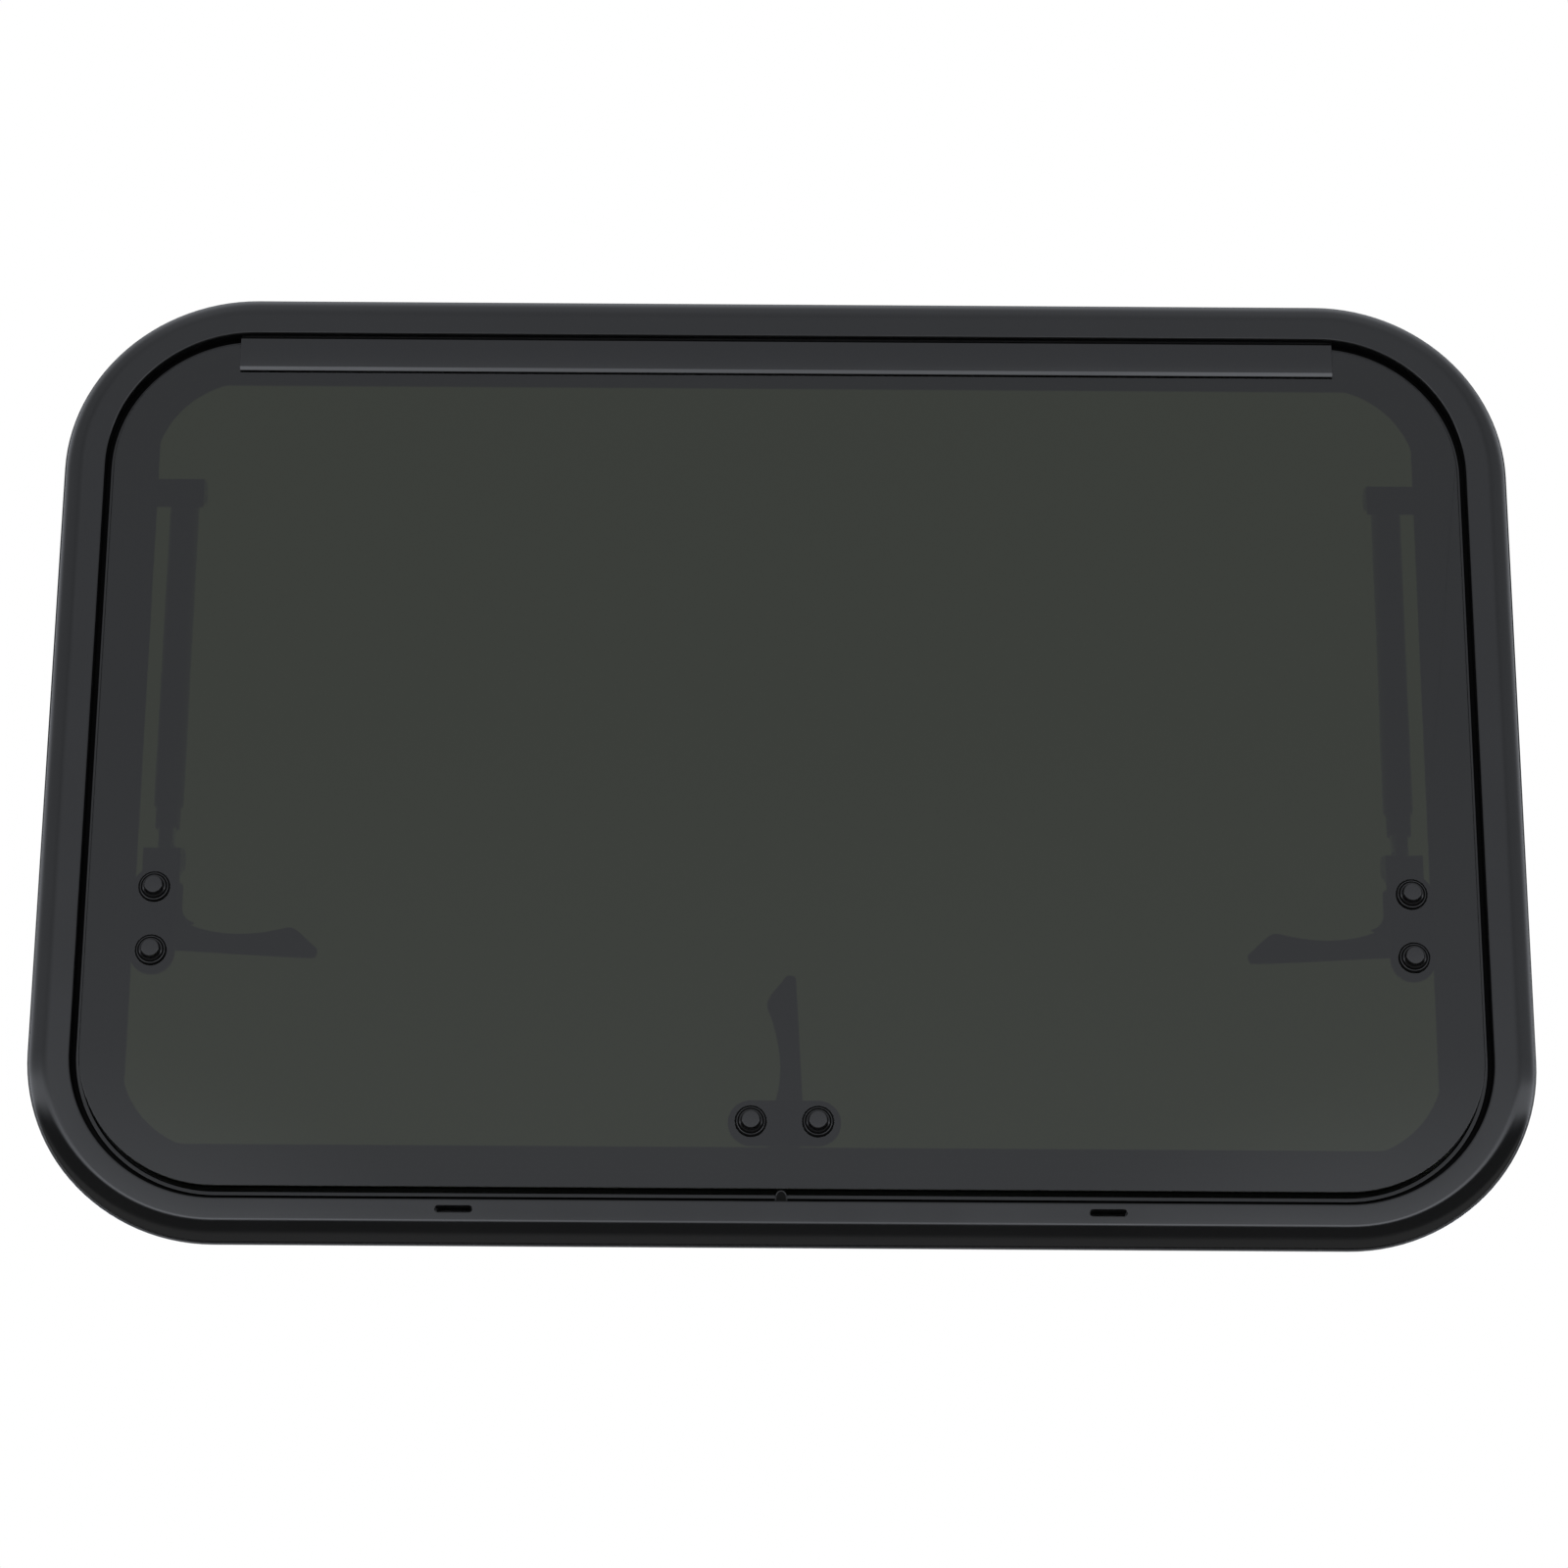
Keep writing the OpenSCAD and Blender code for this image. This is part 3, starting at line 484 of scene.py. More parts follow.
def sweepRound(name, section):
    # section is (distance outwards from the reference line, depth); it is pulled along a side,
    # spun round the corner, and so on until it meets itself
    piece = addOutline(name, [(window["halfWidth"] + u, y, middle - straightZ) for u, y in section])
    editAll(piece)
    legs = [
        ((0, 0, 2 * straightZ), (straightX, 0, middle + straightZ)),
        ((-2 * straightX, 0, 0), (-straightX, 0, middle + straightZ)),
        ((0, 0, -2 * straightZ), (-straightX, 0, middle - straightZ)),
        ((2 * straightX, 0, 0), (straightX, 0, middle - straightZ)),
    ]
    for move, corner in legs:
        drawOut(move)
        bpy.ops.mesh.spin(steps=window["cornerSteps"], angle=math.pi / 2, axis=(0, 1, 0),
                          center=Vector(corner) * mm)
    leaveEdit()
    closeMesh(piece)
    return piece


def outwards(point):
    # distance of a point from the reference line, in mm, outwards positive
    x = abs(point.x / mm) - straightX
    z = abs(point.z / mm - middle) - straightZ
    if x > 0 and z > 0:
        return math.hypot(x, z) - window["radius"]
    return max(x, z) - window["radius"]


def roundSection(point):
    return (outwards(point) + point.y / mm) * mm


def markAcross(piece, measure=roundSection):
    # a number that grows across the section, for the drawing lines
    across = piece.data.attributes.new("across", "FLOAT", "POINT")
    for vertex, value in zip(piece.data.vertices, across.data):
        value.value = measure(vertex.co)


def placeOnFrame(u, share):
    # a point u outside the reference line, this share of the way round from the top right corner
    radius = window["radius"] + u
    bend = radius * math.pi / 2
    travel = share * 4 * (straightX + straightZ + bend)
    x, z, angle = straightX, middle + straightZ, math.pi / 2
    for run in (2 * straightX, 2 * straightZ) * 2:
        along = min(travel, run)
        turned = min(travel - along, bend)
        x -= math.sin(angle) * along
        z += math.cos(angle) * along
        angle += turned / radius
        travel -= along + turned
    return x + radius * math.cos(angle), z + radius * math.sin(angle)


def frameSection():
    height, flat, rim = flange["height"], flange["flat"], flange["rim"]
    lipWidth, lipThick = flange["lip"]
    inside, outside, end = flange["neck"]
    grooveIn, grooveOut, grooveDeep = flange["groove"]
    slopeEnd = flange["overhang"] - lipWidth
    chord = Vector((slopeEnd - flat, height - rim))
    rise = math.sqrt(flange["crown"] ** 2 - chord.length ** 2 / 4)
    centre = Vector((flat, -height)) + chord / 2 + Vector((-chord.y, chord.x)).normalized() * rise
    first = math.degrees(math.atan2(-height - centre.y, flat - centre.x))
    last = math.degrees(math.atan2(-rim - centre.y, slopeEnd - centre.x))
    slope = arc(centre, flange["crown"], first, last, 8)
    out, reach = flange["crease"]
    return softCorners([
        (0, -height, flange["innerEdge"]),
        (flat + out, -height, reach),
        *slope[4:-1],
        (*slope[-1], 0.3),
        (slopeEnd, -lipThick, 0.1),
        (flange["overhang"], -lipThick, 0.2),
        (flange["overhang"], 0, 0.2),
        (grooveOut, 0, 0.2),
        (grooveOut, -grooveDeep),
        (grooveIn, -grooveDeep),
        (grooveIn, 0, 0.2),
        (outside, 0),
        (outside, end, 0.5),
        (0, end, 0.5),
        (0, end - flange["ridge"], 0.5),
        (inside, end - flange["ridge"]),
        (inside, ledge["back"]),
        (0, ledge["back"]),
    ])


def roundedSheet(name, width, height, radius, y, z):
    # a flat sheet with round corners, at depth y and centred on height z
    deselectAll()
    bpy.ops.mesh.primitive_plane_add(size=1, location=(0, 0, 0))
    piece = bpy.context.object
    piece.name = name
    for vertex in piece.data.vertices:
        vertex.co = Vector((vertex.co.x * width, y, vertex.co.y * height + z)) * mm
    editAll(piece)
    bpy.ops.mesh.bevel(offset=radius * mm, segments=window["cornerSteps"], affect="VERTICES")
    leaveEdit()
    return piece


def makeLedge():
    y = ledge["front"]
    low, high = window["low"] + ledge["bottom"], window["high"] - ledge["top"]
    outer = roundedSheet("ledge", 2 * window["halfWidth"] + 1, window["high"] - window["low"] + 1,
                         window["radius"] + 0.5, y, middle)
    inner = roundedSheet("hole", 2 * (window["halfWidth"] - ledge["side"]), high - low, ledge["radius"], y,
                         (low + high) / 2)
    joinPieces(outer, inner)
    editAll(outer)
    bpy.ops.mesh.delete(type="ONLY_FACE")
    bpy.ops.mesh.select_all(action="SELECT")
    bpy.ops.mesh.bridge_edge_loops()
    bpy.ops.mesh.select_all(action="SELECT")
    drawOut((0, ledge["back"] - y, 0))
    leaveEdit()
    closeMesh(outer)
    bevelEdges(outer, 0.4)
    smoothShade(outer)
    return outer


drain = {"pitch": 338, "length": 19.5, "width": 3.7, "inset": 5.3, "depth": 8.5, "edge": 0.3}
drainZ = window["low"] - drain["inset"]


def drainCutter(x):
    radius = drain["width"] / 2
    reach = drain["length"] / 2 - radius
    ends = arc((x + reach, drainZ), radius, -90, 90, 10) + arc((x - reach, drainZ), radius, 90, 270, 10)
    slot = addOutline("slot", [(a, -flange["height"] - 1, b) for a, b in ends])
    extrudeAll(slot, (0, drain["depth"] + 1, 0))
    return slot


def drainPassage(x):
    # behind the face the slot leads up to the channel under the glass
    high = window["low"] + 1
    end = drain["depth"] - flange["height"]
    return box("passage", (x, end - drain["width"] / 4, (drainZ + high) / 2),
               (drain["length"] - drain["width"], drain["width"] / 2, high - drainZ))


def softenSlots(piece):
    # the slots' front edges, found by their place, get a small round
    near = 0.02  # how close an edge has to lie

    def onSlot(edge):
        ends = [piece.data.vertices[i].co / mm for i in edge.vertices]
        return all(abs(p.y + flange["height"]) < near and abs(p.z - drainZ) < drain["width"] / 2 + near
                   and abs(abs(p.x) - drain["pitch"] / 2) < drain["length"] / 2 + near for p in ends)

    selectEdges(piece, onSlot)
    bpy.ops.mesh.bevel(offset=drain["edge"] * mm, segments=2, affect="EDGES")
    leaveEdges()


def makeFrame():
    body = sweepRound("frame_section", frameSection())
    for x in (-drain["pitch"] / 2, drain["pitch"] / 2):
        cutAway(body, drainCutter(x), drainPassage(x))
    softenSlots(body)
    smoothShade(body, 30)
    markAcross(body)
    finishPiece(body, "frame_section", "frameCoat", ["outer_frame"])
    finishPiece(makeLedge(), "frame_ledge", "stripCoat", ["outer_frame"])


makeFrame()
print("frame made")


seals = {
    "wall": {"inside": 11, "outside": 20, "front": -2.5, "back": 0, "round": 0.5},
    "bulb": {"middle": -22, "radius": 4, "foot": -1.5, "base": 0.5},
    "lip": {"base": (-5.5, 0), "front": -0.5, "back": 0.5, "from": -4.8, "width": 2.2, "top": -2.6,
            "lean": 0.1, "round": 0.3},
    "joint": {"half": 3.2, "hinge": 302},
    "stub": {"half": 3, "height": 6.3, "front": -7.5, "back": 0.5, "lean": 1.2, "round": 0.9},
}


def makeStub():
    # its front leans back towards the foot, and its round head stands at the glass's edge
    stub = seals["stub"]
    half, foot, head = stub["half"], window["low"], window["low"] + stub["height"]
    outline = [(-half, foot), (half, foot), *arc((0, head - half), half, 0, 180, 16)]
    piece = addOutline("stub", [(x, stub["front"], z) for x, z in outline])
    extrudeAll(piece, (0, stub["back"] - stub["front"], 0))
    for vertex in piece.data.vertices:
        if vertex.co.y / mm < stub["front"] + 0.1:
            vertex.co.y += stub["lean"] * (head - vertex.co.z / mm) / stub["height"] * mm
    bevelEdges(piece, stub["round"], 4, 50)
    smoothShade(piece)
    finishPiece(piece, "seal_stub", "softLip", ["lip_seal_joint"])


def makeSeals():
    wall = seals["wall"]
    strip = sweepRound("wall_seal", softCorners([
        (wall["inside"], wall["front"]), (wall["outside"], wall["front"]),
        (wall["outside"], wall["back"], wall["round"]), (wall["inside"], wall["back"], wall["round"])]))
    smoothShade(strip)
    finishPiece(strip, "wall_seal", "rubber", ["flange_seal"])

    bulb = seals["bulb"]
    middleU, radius = bulb["middle"], bulb["radius"]
    lean = math.degrees(math.asin((bulb["base"] - bulb["foot"]) / radius))
    crown = arc((middleU, bulb["base"]), radius, 180 + lean, 360 - lean, 14)
    hose = sweepRound("bulb_profile", softCorners([
        (middleU - radius, bulb["base"]), (middleU - radius, bulb["foot"], 0.2), *crown,
        (middleU + radius, bulb["foot"], 0.2), (middleU + radius, bulb["base"])]))
    smoothShade(hose)
    finishPiece(hose, "bulb_profile", "rubber", ["bulb_seal"])

    lip = seals["lip"]
    end, root = lip["from"] + lip["width"], lip["front"] + 0.1
    foot = sweepRound("lip_foot", softCorners([
        (lip["base"][1], lip["back"]), (lip["base"][0], lip["back"]), (lip["base"][0], lip["front"], 0.2),
        (lip["base"][1], lip["front"], 0.2)]))
    crown = sweepRound("lip_crown", softCorners([
        (end, root), (lip["from"], root), (lip["from"], lip["top"] + lip["lean"], lip["round"]),
        (end, lip["top"], lip["round"])]))
    joint = seals["joint"]
    for piece, finish in ((foot, "rubber"), (crown, "softLip")):
        for reach, z in ((joint["hinge"], window["high"] - 3), (joint["half"], window["low"] + 3)):
            cutAway(piece, box("cut", (0, 0, z), (2 * reach, 12, 9)))
        smoothShade(piece)
        finishPiece(piece, piece.name, finish, ["lip_seal"])
    makeStub()


makeSeals()
print("seals made")


hinge = {
    "half": 301,
    "leaf": (476.3, 495.6),  # lower and upper edge
    "front": -9.6,
    "back": -7.5,
    "bow": 0.5,
    "edge": (2.3, 0.4),  # height and fall of the slope along the lower edge
    "glassTop": 493.4,
    "clip": 1.1,
    "clipLow": 486.9,
    "glassBack": -3.5,
    "bead": (-2.9, 496.6, 1.4),
}


def stripSection():
    # (y, z) of the hinge strip: bowed leaf, clip round the glass, and the bead on its stalk
    low, high = hinge["leaf"]
    rise, fall = hinge["edge"]
    bowed = []
    for step in range(11):
        z = low + rise + (high - low - rise) * step / 10
        share = (z - (low + high) / 2) / ((high - low) / 2)
        bowed.append((hinge["front"] + hinge["bow"] * share ** 2, z))
    beadY, beadZ, beadR = hinge["bead"]
    clip, glassTop, glassBack = hinge["clip"], hinge["glassTop"], hinge["glassBack"]
    stalk = math.degrees(math.asin(clip / 2 / beadR))
    bead = arc((beadY, beadZ), beadR, -90 + stalk, 270 - stalk, 20)
    return softCorners([
        (hinge["back"], low, 0.3),
        (bowed[0][0] + fall, low, 0.3),
        (*bowed[0], 0.25),
        *bowed[1:-1],
        (*bowed[-1], 0.5),
        (hinge["back"], high, 0.3),
        (hinge["back"], glassTop + clip),
        (beadY - clip / 2, glassTop + clip),
        *reversed(bead),
        (beadY + clip / 2, glassTop + clip),
        (glassBack + clip, glassTop + clip, 0.5),
        (glassBack + clip, hinge["clipLow"], 0.3),
        (glassBack, hinge["clipLow"], 0.3),
        (glassBack, glassTop),
        (hinge["back"], glassTop),
    ])


def makeHinge():
    section = stripSection()
    strip = addOutline("strip", [(-hinge["half"], y, z) for y, z in section])
    extrudeAll(strip, (2 * hinge["half"], 0, 0))
    # the saw-cut ends are a touch broken
    bevelEdges(strip, 0.2, 1, 60)
    smoothShade(strip, 30)
    markAcross(strip, lambda point: point.z)
    finishPiece(strip, "hinge_leaf", "stripCoat", ["hinge_strip"])
    # the rail gets the darker, duller coat: painted shade in the gap
    soften("hinge_rail", "railCoatPaintedShade", 0.25)


makeHinge()
print("hinge made")


glass = {"thick": 4, "radius": 74, "holes": 5, "edge": 0.7}
boltX = 332.5
boltPitch = 35
catches = {
    "left": {"middle": (-boltX, 160.2), "stand": True},
    "right": {"middle": (boltX, 160.2), "stand": True},
    "bottom": {"middle": (1.5, 51.7), "stand": False},
}


def boltPlaces(side):
    x, z = catches[side]["middle"]
    half = boltPitch / 2
    return [(x, z - half), (x, z + half)] if catches[side]["stand"] else [(x - half, z), (x + half, z)]


def makeGlass():
    low, high = (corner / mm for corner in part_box("sash_glass"))
    pane = roundedSheet("pane", high.x - low.x, high.z - low.z, glass["radius"], low.y,
                        (low.z + high.z) / 2)
    editAll(pane)
    drawOut((0, glass["thick"], 0))
    leaveEdit()
    closeMesh(pane)
    drills = []
    for side in catches:
        for x, z in boltPlaces(side):
            edge = [(a, low.y - 1, b) for a, b in arc((x, z), glass["holes"], 0, 350, 35)]
            drills.append(extrudeAll(addOutline("drill", edge), (0, glass["thick"] + 2, 0)))
    cutAway(pane, *drills)
    bevelEdges(pane, glass["edge"], 3, 50)
    smoothShade(pane, 40)
    finishPiece(pane, "glass_pane", "glass", ["sash_glass"])


makeGlass()
print("glass made")


ring = {
    "leg": (-2, -0.3, 14),  # inside, outside, end
    "cover": 15,
    "face": (25, 27),
    "screws": 22,
    "screwAt": 3.5,
    "head": (3.4, 1.6, 1.7),  # head radius, shank radius, depth
    "sunk": 0.15,
    "cross": (3.6, 1.6, 0.7),  # length, depth twice, width
}


def cutCross(head, place, size, turn):
    for angle in (turn, turn + math.pi / 2):
        cutAway(head, box("cross", place, size, angle))
    return head


def screwHead(x, z):
    # a countersunk head; the turn of its cross follows from its place
    radius, shank, depth = ring["head"]
    top = ring["face"][1] - ring["sunk"]
    head = lathe("screw", [(0, top), (radius - 0.5, top), (radius - 0.2, top - 0.1),
                           (shank, top - depth), (0, top - depth)], (x, z), 20)
    return cutCross(head, (x, top, z), ring["cross"], math.radians((x * 7 + z * 3) % 90))


def makeClampRing():
    inside, outside, end = ring["leg"]
    front, back = ring["face"]
    rounding = (back - front) / 2
    rim = arc((ring["cover"] - rounding, front + rounding), rounding, -90, 90, 8)
    cover = sweepRound("ring", softCorners([
        (inside, end, 0.4), (outside, end, 0.4), (outside, front, 0.3), *rim, (inside, back, 0.8)]))
    screws = []
    radius, shank, depth = ring["head"]
    for i in range(ring["screws"]):
        x, z = placeOnFrame(ring["screwAt"], (i + 0.5) / ring["screws"])
        sink = lathe("sink", [(0, back + 0.5), (radius + 0.65, back + 0.5), (shank, back - depth - 0.1),
                              (0, back - depth - 0.1)], (x, z), 24)
        cutAway(cover, sink)
        screws.append(screwHead(x, z))
    smoothShade(cover, 30)
    markAcross(cover)
    finishPiece(cover, "inner_ring", "frameCoat", ["clamp_ring"])
    heads = joinPieces(*screws)
    smoothShade(heads, 30)
    finishPiece(heads, "ring_screws", "anodised")


makeClampRing()
print("clamp ring made")


bolt = {
    "washer": (8.35, -8.5, -7.5),  # radius, front, back
    "cup": (7.0, 7.45, -8.7, -8),  # inner and outer radius, front, back
    "cap": (6.1, 4.6, 3.6),  # radius at the foot, radius of the flat top, height over the cup
    "skirt": 0.5,
    "shank": 3,
    "shankEnd": -2.5,
}


def capOutline():
    radius, topRadius, height = bolt["cap"]
    base = bolt["cup"][2]
    top = base - height
    flat = softCorners([(0, top), (topRadius, top, 0.4), (radius - 0.6, base - bolt["skirt"] - 0.2, 0.2),
                        (radius, base - bolt["skirt"], 0.15), (radius, base), (0, base)])
    return flat[:-1] + [(bolt["shank"], base), (bolt["shank"], bolt["shankEnd"]), (0, bolt["shankEnd"])]


def washerOutline():
    radius, front, back = bolt["washer"]
    inner = bolt["shank"] + 0.1
    outline = softCorners([(inner, front), (radius - 0.2, front, 0.1), (radius, front + 0.3, 0.1),
                           (radius, back), (inner, back)], 3)
    return outline + outline[:1]


def cupOutline():
    inner, outer, front, back = bolt["cup"]
    outline = softCorners([(inner, front, 0.1), (outer, front, 0.25), (outer, back), (inner, back)], 3)
    return outline + outline[:1]


def makeBolts():
    for side in catches:
        rows = (("bolts", capOutline(), "cap"), ("cups", cupOutline(), "cap"),
                ("washers", washerOutline(), "rubber"))
        for kind, outline, finish in rows:
            made = joinPieces(*[lathe(kind, outline, place) for place in boltPlaces(side)])
            smoothShade(made, 30)
            node = side + "_catch_" + kind
            finishPiece(made, side + "_" + kind, finish, [node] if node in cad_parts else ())


makeBolts()
print("bolts made")


def makeCatches():
    for side in catches:
        soften(side + "_catch_pad", "rubber", 0.2)
        soften(side + "_catch_plate", "moulded", 0.5, segments=3)


makeCatches()
print("catch plates made")


lever = {
    "length": 86,
    "root": (5.75, 10.2),  # where the blade starts, and half its width there
    "hub": (11.5, 13.5, 18.5),  # radius, underside, top
    "barrel": (6, 2.8),  # radius, lower end
    "tongue": (20, 10, 3.3, 4),  # length, width, underside, thickness
    "nose": (18, 9.4),  # length and height
    "finger": ((0.25, -1), (0.55, 1)),  # what bends the finger side: share of the length, height
    "end": ((0.2, -1.6), (-0.6, -4.9)),  # the last two corners, from the end of the length
    "drop": 5.8,
    "step": 0.6,
    "swell": 3,
    "droop": 6,
    "bore": 3.05,
    "round": 1.5,
}
pivot = {"radius": 3, "from": -0.3, "head": (5.5, 18.8, 20.4)}


def curveValue(a, b, c, d, t):
    return a * (1 - t) ** 3 + b * 3 * (1 - t) ** 2 * t + c * 3 * (1 - t) * t ** 2 + d * t ** 3


def curvePoint(a, b, c, d, t):
    return curveValue(Vector(a), Vector(b), Vector(c), Vector(d), t)


def leverBlade():
    # drawn out station by station: four corners each, finger side and back, top and underside
    length = lever["length"]
    rootX, rootZ = lever["root"]
    noseLong, noseHigh = lever["nose"]
    drop, step = lever["drop"], lever["step"]
    low, high = lever["hub"][1] + step, lever["hub"][2] - step
    tipX = length + 1
    crest = (length - noseLong, noseHigh)
    tip = (length - 1, 0)
    back = (length - drop + 1, -drop)
    bends = [(share * length, z) for share, z in lever["finger"]]
    finger = [curvePoint((rootX, rootZ), *bends, crest, i / 10) for i in range(10)]
    nose = [curvePoint(crest, (crest[0] + noseLong / 4, crest[1] * 1.25),
                       (tip[0] - noseLong / 4, noseHigh / 4), tip, i / 6) for i in range(7)]
    stations = []
    for point in finger + nose:
        share = (point.x - rootX) / (tip[0] - rootX)
        under = Vector((rootX + (back[0] + 3 - rootX) * share, -rootZ + (rootZ - drop) * share))
        stations.append((point, under))
    stations.append([Vector((length + x, z)) for x, z in lever["end"]])

    def loop(upper, under):
        corners = []
        for p, side in ((upper, 1), (upper, 0), (under, 0), (under, 1)):
            t = max(0, min(1, p.x / tipX))
            top = curveValue(high, high - lever["swell"] / 2, high + lever["swell"], high, t)
            bottom = curveValue(low, low, low + step, low + 1, t)
            corners.append(Vector((p.x, top if side else bottom, p.y)))
        return corners

    loops = [loop(*station) for station in stations]
    blade = addOutline("blade", loops[0])
    editAll(blade)
    for corners in loops[1:]:
        # only the newest loop is selected: it is drawn out and set in place
        bpy.ops.object.mode_set(mode="EDIT")
        drawOut((0, 0, 0))
        leaveEdit()
        fresh = [v for v in blade.data.vertices if v.select]
        for vertex, corner in zip(fresh, corners):
            vertex.co = corner * mm
    editAll(blade)
    bpy.ops.mesh.fill_holes(sides=4)
    leaveEdit()
    closeMesh(blade)
    bevelEdges(blade, lever["round"], 4, 40)
    return blade


def makeLever():
    hubR, hubLow, hubHigh = lever["hub"]
    barrelR, barrelLow = lever["barrel"]
    bore = lever["bore"]
    hub = lathe("hub", softCorners([(bore, hubHigh), (hubR, hubHigh, 1.2), (hubR, hubLow, 0.6),
                                    (barrelR, hubLow, 0.6), (barrelR, barrelLow, 0.3), (bore, barrelLow)])
                + [(bore, hubHigh)], (0, 0))
    length, width, under, thick = lever["tongue"]
    half = width / 2
    hook = arc((-length + half, 0), half, 90, 270, 14) + [(-2, -half), (-2, half)]
    tongue = addOutline("tongue", [(x, under, z) for x, z in hook])
    extrudeAll(tongue, (0, thick, 0))
    bevelEdges(tongue, 0.7, 3)
    made = joinPieces(hub, tongue, leverBlade())
    smoothShade(made, 35)
    return made


def placeCopy(source, name, matrix):
    piece = source.copy()
    piece.data = source.data.copy()
    bpy.context.scene.collection.objects.link(piece)
    piece.name = name
    piece.data.transform(matrix)
    if matrix.determinant() < 0:
        editAll(piece)
        bpy.ops.mesh.flip_normals()
        leaveEdit()
    return piece


def makeLevers():
    pattern = makeLever()
    headR, headLow, headHigh = pivot["head"]
    rivet = lathe("rivet", softCorners([
        (0, headHigh - 0.35), (1.7, headHigh - 0.35, 0.2), (2.1, headHigh, 0.2), (headR, headHigh, 0.8),
        (headR, headLow, 0.2), (pivot["radius"], headLow), (pivot["radius"], pivot["from"]),
        (0, pivot["from"])]), (0, 0))
    smoothShade(rivet, 30)
    droop = Matrix.Rotation(math.radians(lever["droop"]), 4, "Y")
    turns = {
        "left": droop,
        "right": Matrix.Scale(-1, 4, (1, 0, 0)) @ droop,
        "bottom": Matrix.Rotation(math.radians(-90), 4, "Y"),
    }
    for side, turn in turns.items():
        x, z = catches[side]["middle"]
        move = Matrix.Translation(Vector((x, 0, z)) * mm)
        handle = placeCopy(pattern, side + "_handle", move @ turn)
        finishPiece(handle, side + "_handle", "moulded", [side + "_lever"], side + "_lever")
        pin = placeCopy(rivet, side + "_rivet", move)
        finishPiece(pin, side + "_rivet", "zinc", [side + "_pivot_pin"])
    for spare in (pattern, rivet):
        bpy.data.objects.remove(spare)


makeLevers()
print("levers made")


stay = {
    "place": (330, 13.5),
    "foot": 199.2,  # height of the lower pivot
    "top": 412.2,  # height of the upper pivot
    "eye": 6,  # radius at both ends
    "pin": (2, 20, 23),  # radius, length in the lug and in the bracket
    "tube": (8, 5.05, 229.7, 405.2),  # radius, bore, lower end, shoulder
    "tubeEye": 12,
    "rod": (4.9, 206.2, 329.2),
    "rodEye": 6,
    "collar": (6.6, 217, 229.55),
    "grip": (3.2, 1, 0.6),  # pitch, width and depth of the collar's grooves
    "plug": (2.2, 1, 6),  # the tube's end: how much narrower, how high, how deep
    "groove": (8, 0.4, 0.3),  # height over the tube's end, half width, depth
    "screwed": {"x": 355.5, "back": 5, "screws": (400.8, 414.2), "head": (3.1, 1.7),
                "cross": (3.4, 1.8, 0.7), "turn": 0.5},
}


def standUp(piece):
    # turned along Z and set on the stay's axis
    x, y = stay["place"]
    piece.data.transform(Matrix.Translation(Vector((x, y, 0)) * mm) @ Matrix.Rotation(math.pi / 2, 4, "X"))
    return piece


def eyePlate(thick, half, pivotZ, shoulderZ, bevel):
    # a flat eye across X: half its width at the shoulder, round over the pivot
    x, y = stay["place"]
    way = 1 if pivotZ > shoulderZ else -1
    crown = [(a, pivotZ + way * b) for a, b in arc((y, 0), stay["eye"], 0, 180, 20)]
    eye = addOutline("eye", [(x - thick / 2, a, b) for a, b in
                             [(y + half, shoulderZ), *crown, (y - half, shoulderZ)]])
    extrudeAll(eye, (thick, 0, 0))
    bevelEdges(eye, bevel, 3)
    return eye


def acrossPin(length, z):
    radius = stay["pin"][0]
    half = length / 2
    outline = softCorners([(0, -half), (radius, -half, 0.3), (radius, half, 0.3), (0, half)])
    pin = lathe("pin", outline, (0, 0), 24)
    x, y = stay["place"]
    pin.data.transform(Matrix.Translation(Vector((x, y, z)) * mm) @ Matrix.Rotation(math.pi / 2, 4, "Z"))
    return pin


def makeTube():
    radius, bore, low, high = stay["tube"]
    narrow, rise, deep = stay["plug"]
    above, half, cut = stay["groove"]
    tube = standUp(lathe("tube", softCorners([
        (0, high), (radius - narrow, high, 0.2), (radius - narrow, high - rise, 0.2),
        (radius, high - rise, 0.8), (radius, low + above + half, 0.2), (radius - cut, low + above, 0.1),
        (radius, low + above - half, 0.2), (radius, low, 0.7),
        (bore, low, 0.4), (bore, high - deep), (0, high - deep)]), (0, 0), 56))
    return joinPieces(tube, eyePlate(stay["tubeEye"], stay["eye"], stay["top"], high - 2, 0.7))


def makeRod():
    radius, low, high = stay["rod"]
    rod = standUp(lathe("rod", softCorners([(0, low), (radius, low, 0.9), (radius, high, 0.5), (0, high)]),
                        (0, 0), 40))
    return joinPieces(rod, eyePlate(stay["rodEye"], radius, stay["foot"], low + 2, 0.5))


def makeCollar():
    radius, low, high = stay["collar"]
    pitch, width, depth = stay["grip"]
    bore = stay["tube"][1]
    outline = [(radius, low, 0.5)]
    for i in (1, 2, 3):
        z = low + i * pitch
        outline += [(radius, z, 0.15), (radius - depth, z, 0.15), (radius - depth, z + width, 0.15),
                    (radius, z + width, 0.15)]
    outline = softCorners([(bore, low), *outline, (radius, high, 0.5), (bore, high)], 2)
    return standUp(lathe("collar", outline + outline[:1], (0, 0), 56))


def footScrew(z):
    screwed = stay["screwed"]
    radius, high = screwed["head"]
    x, back, top = screwed["x"], screwed["back"], screwed["back"] + high
    head = lathe("footScrew", softCorners([(0, back - 0.3), (radius, back - 0.3), (radius, top, 1.3),
                                           (0, top)]), (x, z), 28)
    return cutCross(head, (x, top, z), screwed["cross"], screwed["turn"])


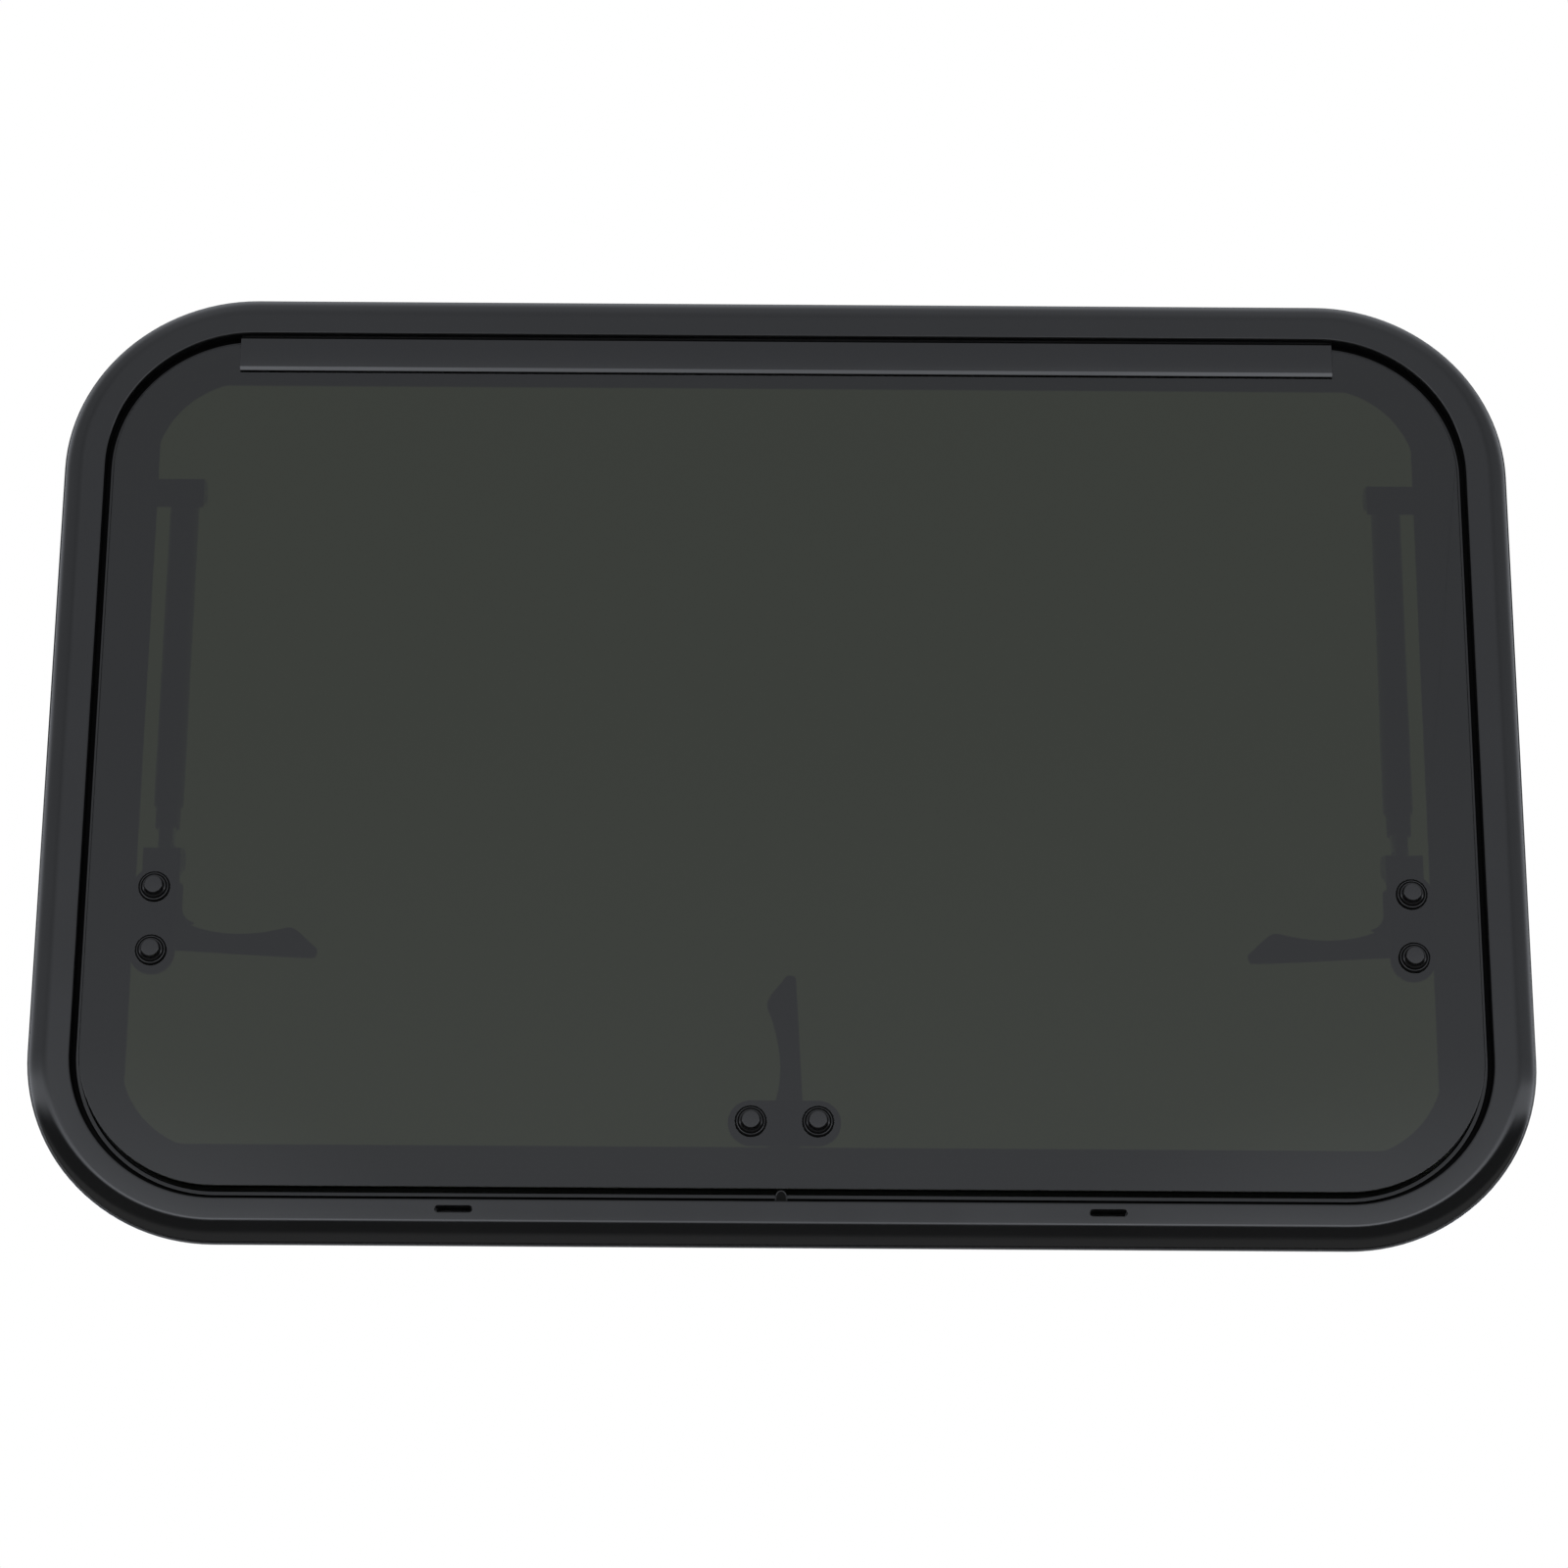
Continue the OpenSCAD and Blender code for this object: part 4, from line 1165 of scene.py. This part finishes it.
def makeStays():
    pins = joinPieces(acrossPin(stay["pin"][1], stay["foot"]), acrossPin(stay["pin"][2], stay["top"]))
    parts = {
        "tube": (makeTube(), "anodised"),
        "collar": (makeCollar(), "moulded"),
        "rod": (makeRod(), "zinc"),
        "pins": (pins, "zinc"),
        "screws": (joinPieces(*[footScrew(z) for z in stay["screwed"]["screws"]]), "anodised"),
    }
    for kind, (part, finish) in parts.items():
        smoothShade(part, 30)
        for side, mirror in (("right", 1), ("left", -1)):
            name = side + "_stay_" + kind
            copy = placeCopy(part, name, Matrix.Scale(mirror, 4, (1, 0, 0)))
            finishPiece(copy, name + "_made", finish, [name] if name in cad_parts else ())
        bpy.data.objects.remove(part)
    for side in ("left", "right"):
        soften(side + "_stay_bracket", "moulded", 0.5, segments=3)


makeStays()
print("stays made")


# floor, well under the window
floor = {"height": -1000, "half": 9000, "color": (0.86, 0.86, 0.86), "fadeFrom": 2.2, "fadeTo": 4.5}
# depth in metres and brightness of the floor as mirrors see it: black in front, white behind
floorCard = [(-3, 0.08), (-0.95, 0.1), (-0.7, 0.38), (-0.25, 0.38), (-0.1, 0.08), (0.9, 0.08), (1.6, 1.0)]


def addRamp(tree, value, stops):
    # grey levels along a value from 0 to 1
    ramp = addNode(tree, "ShaderNodeValToRGB", {"Fac": value})
    elements = ramp.color_ramp.elements
    for i, (place, level) in enumerate(stops):
        element = elements[0] if i == 0 else elements[-1] if i == len(stops) - 1 else elements.new(place)
        element.position = place
        element.color = (level, level, level, 1)
    return ramp.outputs["Color"]


def floorFinish():
    # pale near the window and white far off; what mirrors see is a glowing card instead: a painted
    # reflection, dark in front and white behind
    material, tree, shader = newMaterial("paleFloor")
    shader.inputs["Roughness"].default_value = 0.8
    pale = floor["color"]
    color = mixColors(tree, noise(tree, 2.0, 3.0), (*[c * 0.99 for c in pale], 1), (*pale, 1))
    tree.links.new(color, shader.inputs["Base Color"])
    white = addNode(tree, "ShaderNodeEmission", {"Color": (1, 1, 1, 1), "Strength": 1.0})
    place = addNode(tree, "ShaderNodeTexCoord").outputs["Object"]
    depth = addNode(tree, "ShaderNodeSeparateXYZ", {"Vector": place}).outputs["Y"]
    low, high = floorCard[0][0], floorCard[-1][0]
    stops = [((y - low) / (high - low), level) for y, level in floorCard]
    shade = addRamp(tree, remap(tree, depth, low, high), stops)
    card = addNode(tree, "ShaderNodeEmission", {"Color": shade})
    far = addNode(tree, "ShaderNodeVectorMath", {0: place}, operation="LENGTH").outputs["Value"]
    fade = remap(tree, far, floor["fadeFrom"], floor["fadeTo"], smooth=True)
    blend = mixShaders(tree, fade, shader.outputs["BSDF"], white.outputs["Emission"])
    rays = addNode(tree, "ShaderNodeLightPath").outputs
    mirrored = maths(tree, "SUBTRACT", rays["Is Glossy Ray"], rays["Is Transmission Ray"], clamp=True)
    final = mixShaders(tree, mirrored, blend, card.outputs["Emission"])
    tree.links.new(final, tree.nodes["Material Output"].inputs["Surface"])
    return material


def addFloor():
    deselectAll()
    bpy.ops.mesh.primitive_plane_add(size=2 * floor["half"] * mm, location=(0, 0, floor["height"] * mm))
    ground = bpy.context.object
    ground.name = "floor"
    ground.data.materials.append(floorFinish())


# the room that gloss mirrors: elevation in degrees and brightness
room = {
    "levels": [(-90, 0.35), (-4, 0.12), (-1, 0.7), (1.5, 2.3), (7.5, 2.3), (10.5, 1.15), (14, 0.95),
               (17, 0.87), (20, 0.8), (26, 0.76), (45, 0.68), (75, 0.6), (90, 0.55)],
    "tint": (0.95, 0.985, 1.06),
    "boxes": [  # azimuth from the camera's side, elevation, half width, brightness
        (-10, 7, 9, 0.8),
        (9, 7, 9, 0.8),
    ],
    "sides": (0.25, 0.7, 0.72),  # where the room darkens sideways, from and to, and what is left
    "behind": (-0.12, 0.25, 1.4),  # where the white wall behind the window begins, and its brightness
    "wallTop": (0.4, 0.8, 0.2),  # where that wall fades upwards, and what is left of it
    "fill": 0.65,
    "sun": {"strength": 1.0, "angle": 14, "turn": (38, 0, -28)},
}


def direction(azimuth, elevation):
    a, e = math.radians(azimuth), math.radians(elevation)
    return Vector((math.sin(a) * math.cos(e), -math.cos(a) * math.cos(e), math.sin(e)))


def addRoom():
    world = bpy.context.scene.world or bpy.data.worlds.new("room")
    bpy.context.scene.world = world
    world.use_nodes = True
    tree = world.node_tree
    tree.nodes.clear()
    way = addNode(tree, "ShaderNodeTexCoord").outputs["Generated"]
    along = addNode(tree, "ShaderNodeSeparateXYZ", {"Vector": way}).outputs
    brightest = max(level for _, level in room["levels"])
    stops = [((math.sin(math.radians(e)) + 1) / 2, level / brightest) for e, level in room["levels"]]
    total = maths(tree, "MULTIPLY", addRamp(tree, remap(tree, along["Z"], -1.0, 1.0), stops), brightest)
    low, high, left = room["sides"]
    dim = remap(tree, maths(tree, "ABSOLUTE", along["X"]), low, high, 1.0, left, smooth=True)
    total = maths(tree, "MULTIPLY", total, dim)
    low, high, level = room["behind"]
    wall = remap(tree, along["Y"], low, high, 0.0, level, smooth=True)
    low, high, left = room["wallTop"]
    wall = maths(tree, "MULTIPLY", wall, remap(tree, along["Z"], low, high, 1.0, left, smooth=True))
    total = maths(tree, "ADD", total, wall)
    for azimuth, elevation, half, level in room["boxes"]:
        facing = dotProduct(tree, way, direction(azimuth, elevation))
        spot = remap(tree, facing, math.cos(math.radians(half)), 1.0, 0.0, level, smooth=True)
        total = maths(tree, "ADD", total, spot)

    def background(strength, color=(1, 1, 1)):
        inputs = {"Color": (*color, 1), "Strength": strength}
        return addNode(tree, "ShaderNodeBackground", inputs).outputs["Background"]

    rays = addNode(tree, "ShaderNodeLightPath").outputs
    lit = mixShaders(tree, rays["Is Glossy Ray"], background(room["fill"]), background(total, room["tint"]))
    seen = maths(tree, "MAXIMUM", rays["Is Camera Ray"], rays["Is Transmission Ray"])
    final = mixShaders(tree, seen, lit, background(1.0))
    addNode(tree, "ShaderNodeOutputWorld", {"Surface": final})


def addSun():
    deselectAll()
    bpy.ops.object.light_add(type="SUN", location=(0, -1, 2),
                             rotation=[math.radians(a) for a in room["sun"]["turn"]])
    sun = bpy.context.object
    sun.name = "softSun"
    sun.data.energy = room["sun"]["strength"]
    sun.data.angle = math.radians(room["sun"]["angle"])
    sun.visible_glossy = False


addFloor()
addRoom()
addSun()
print("room made")
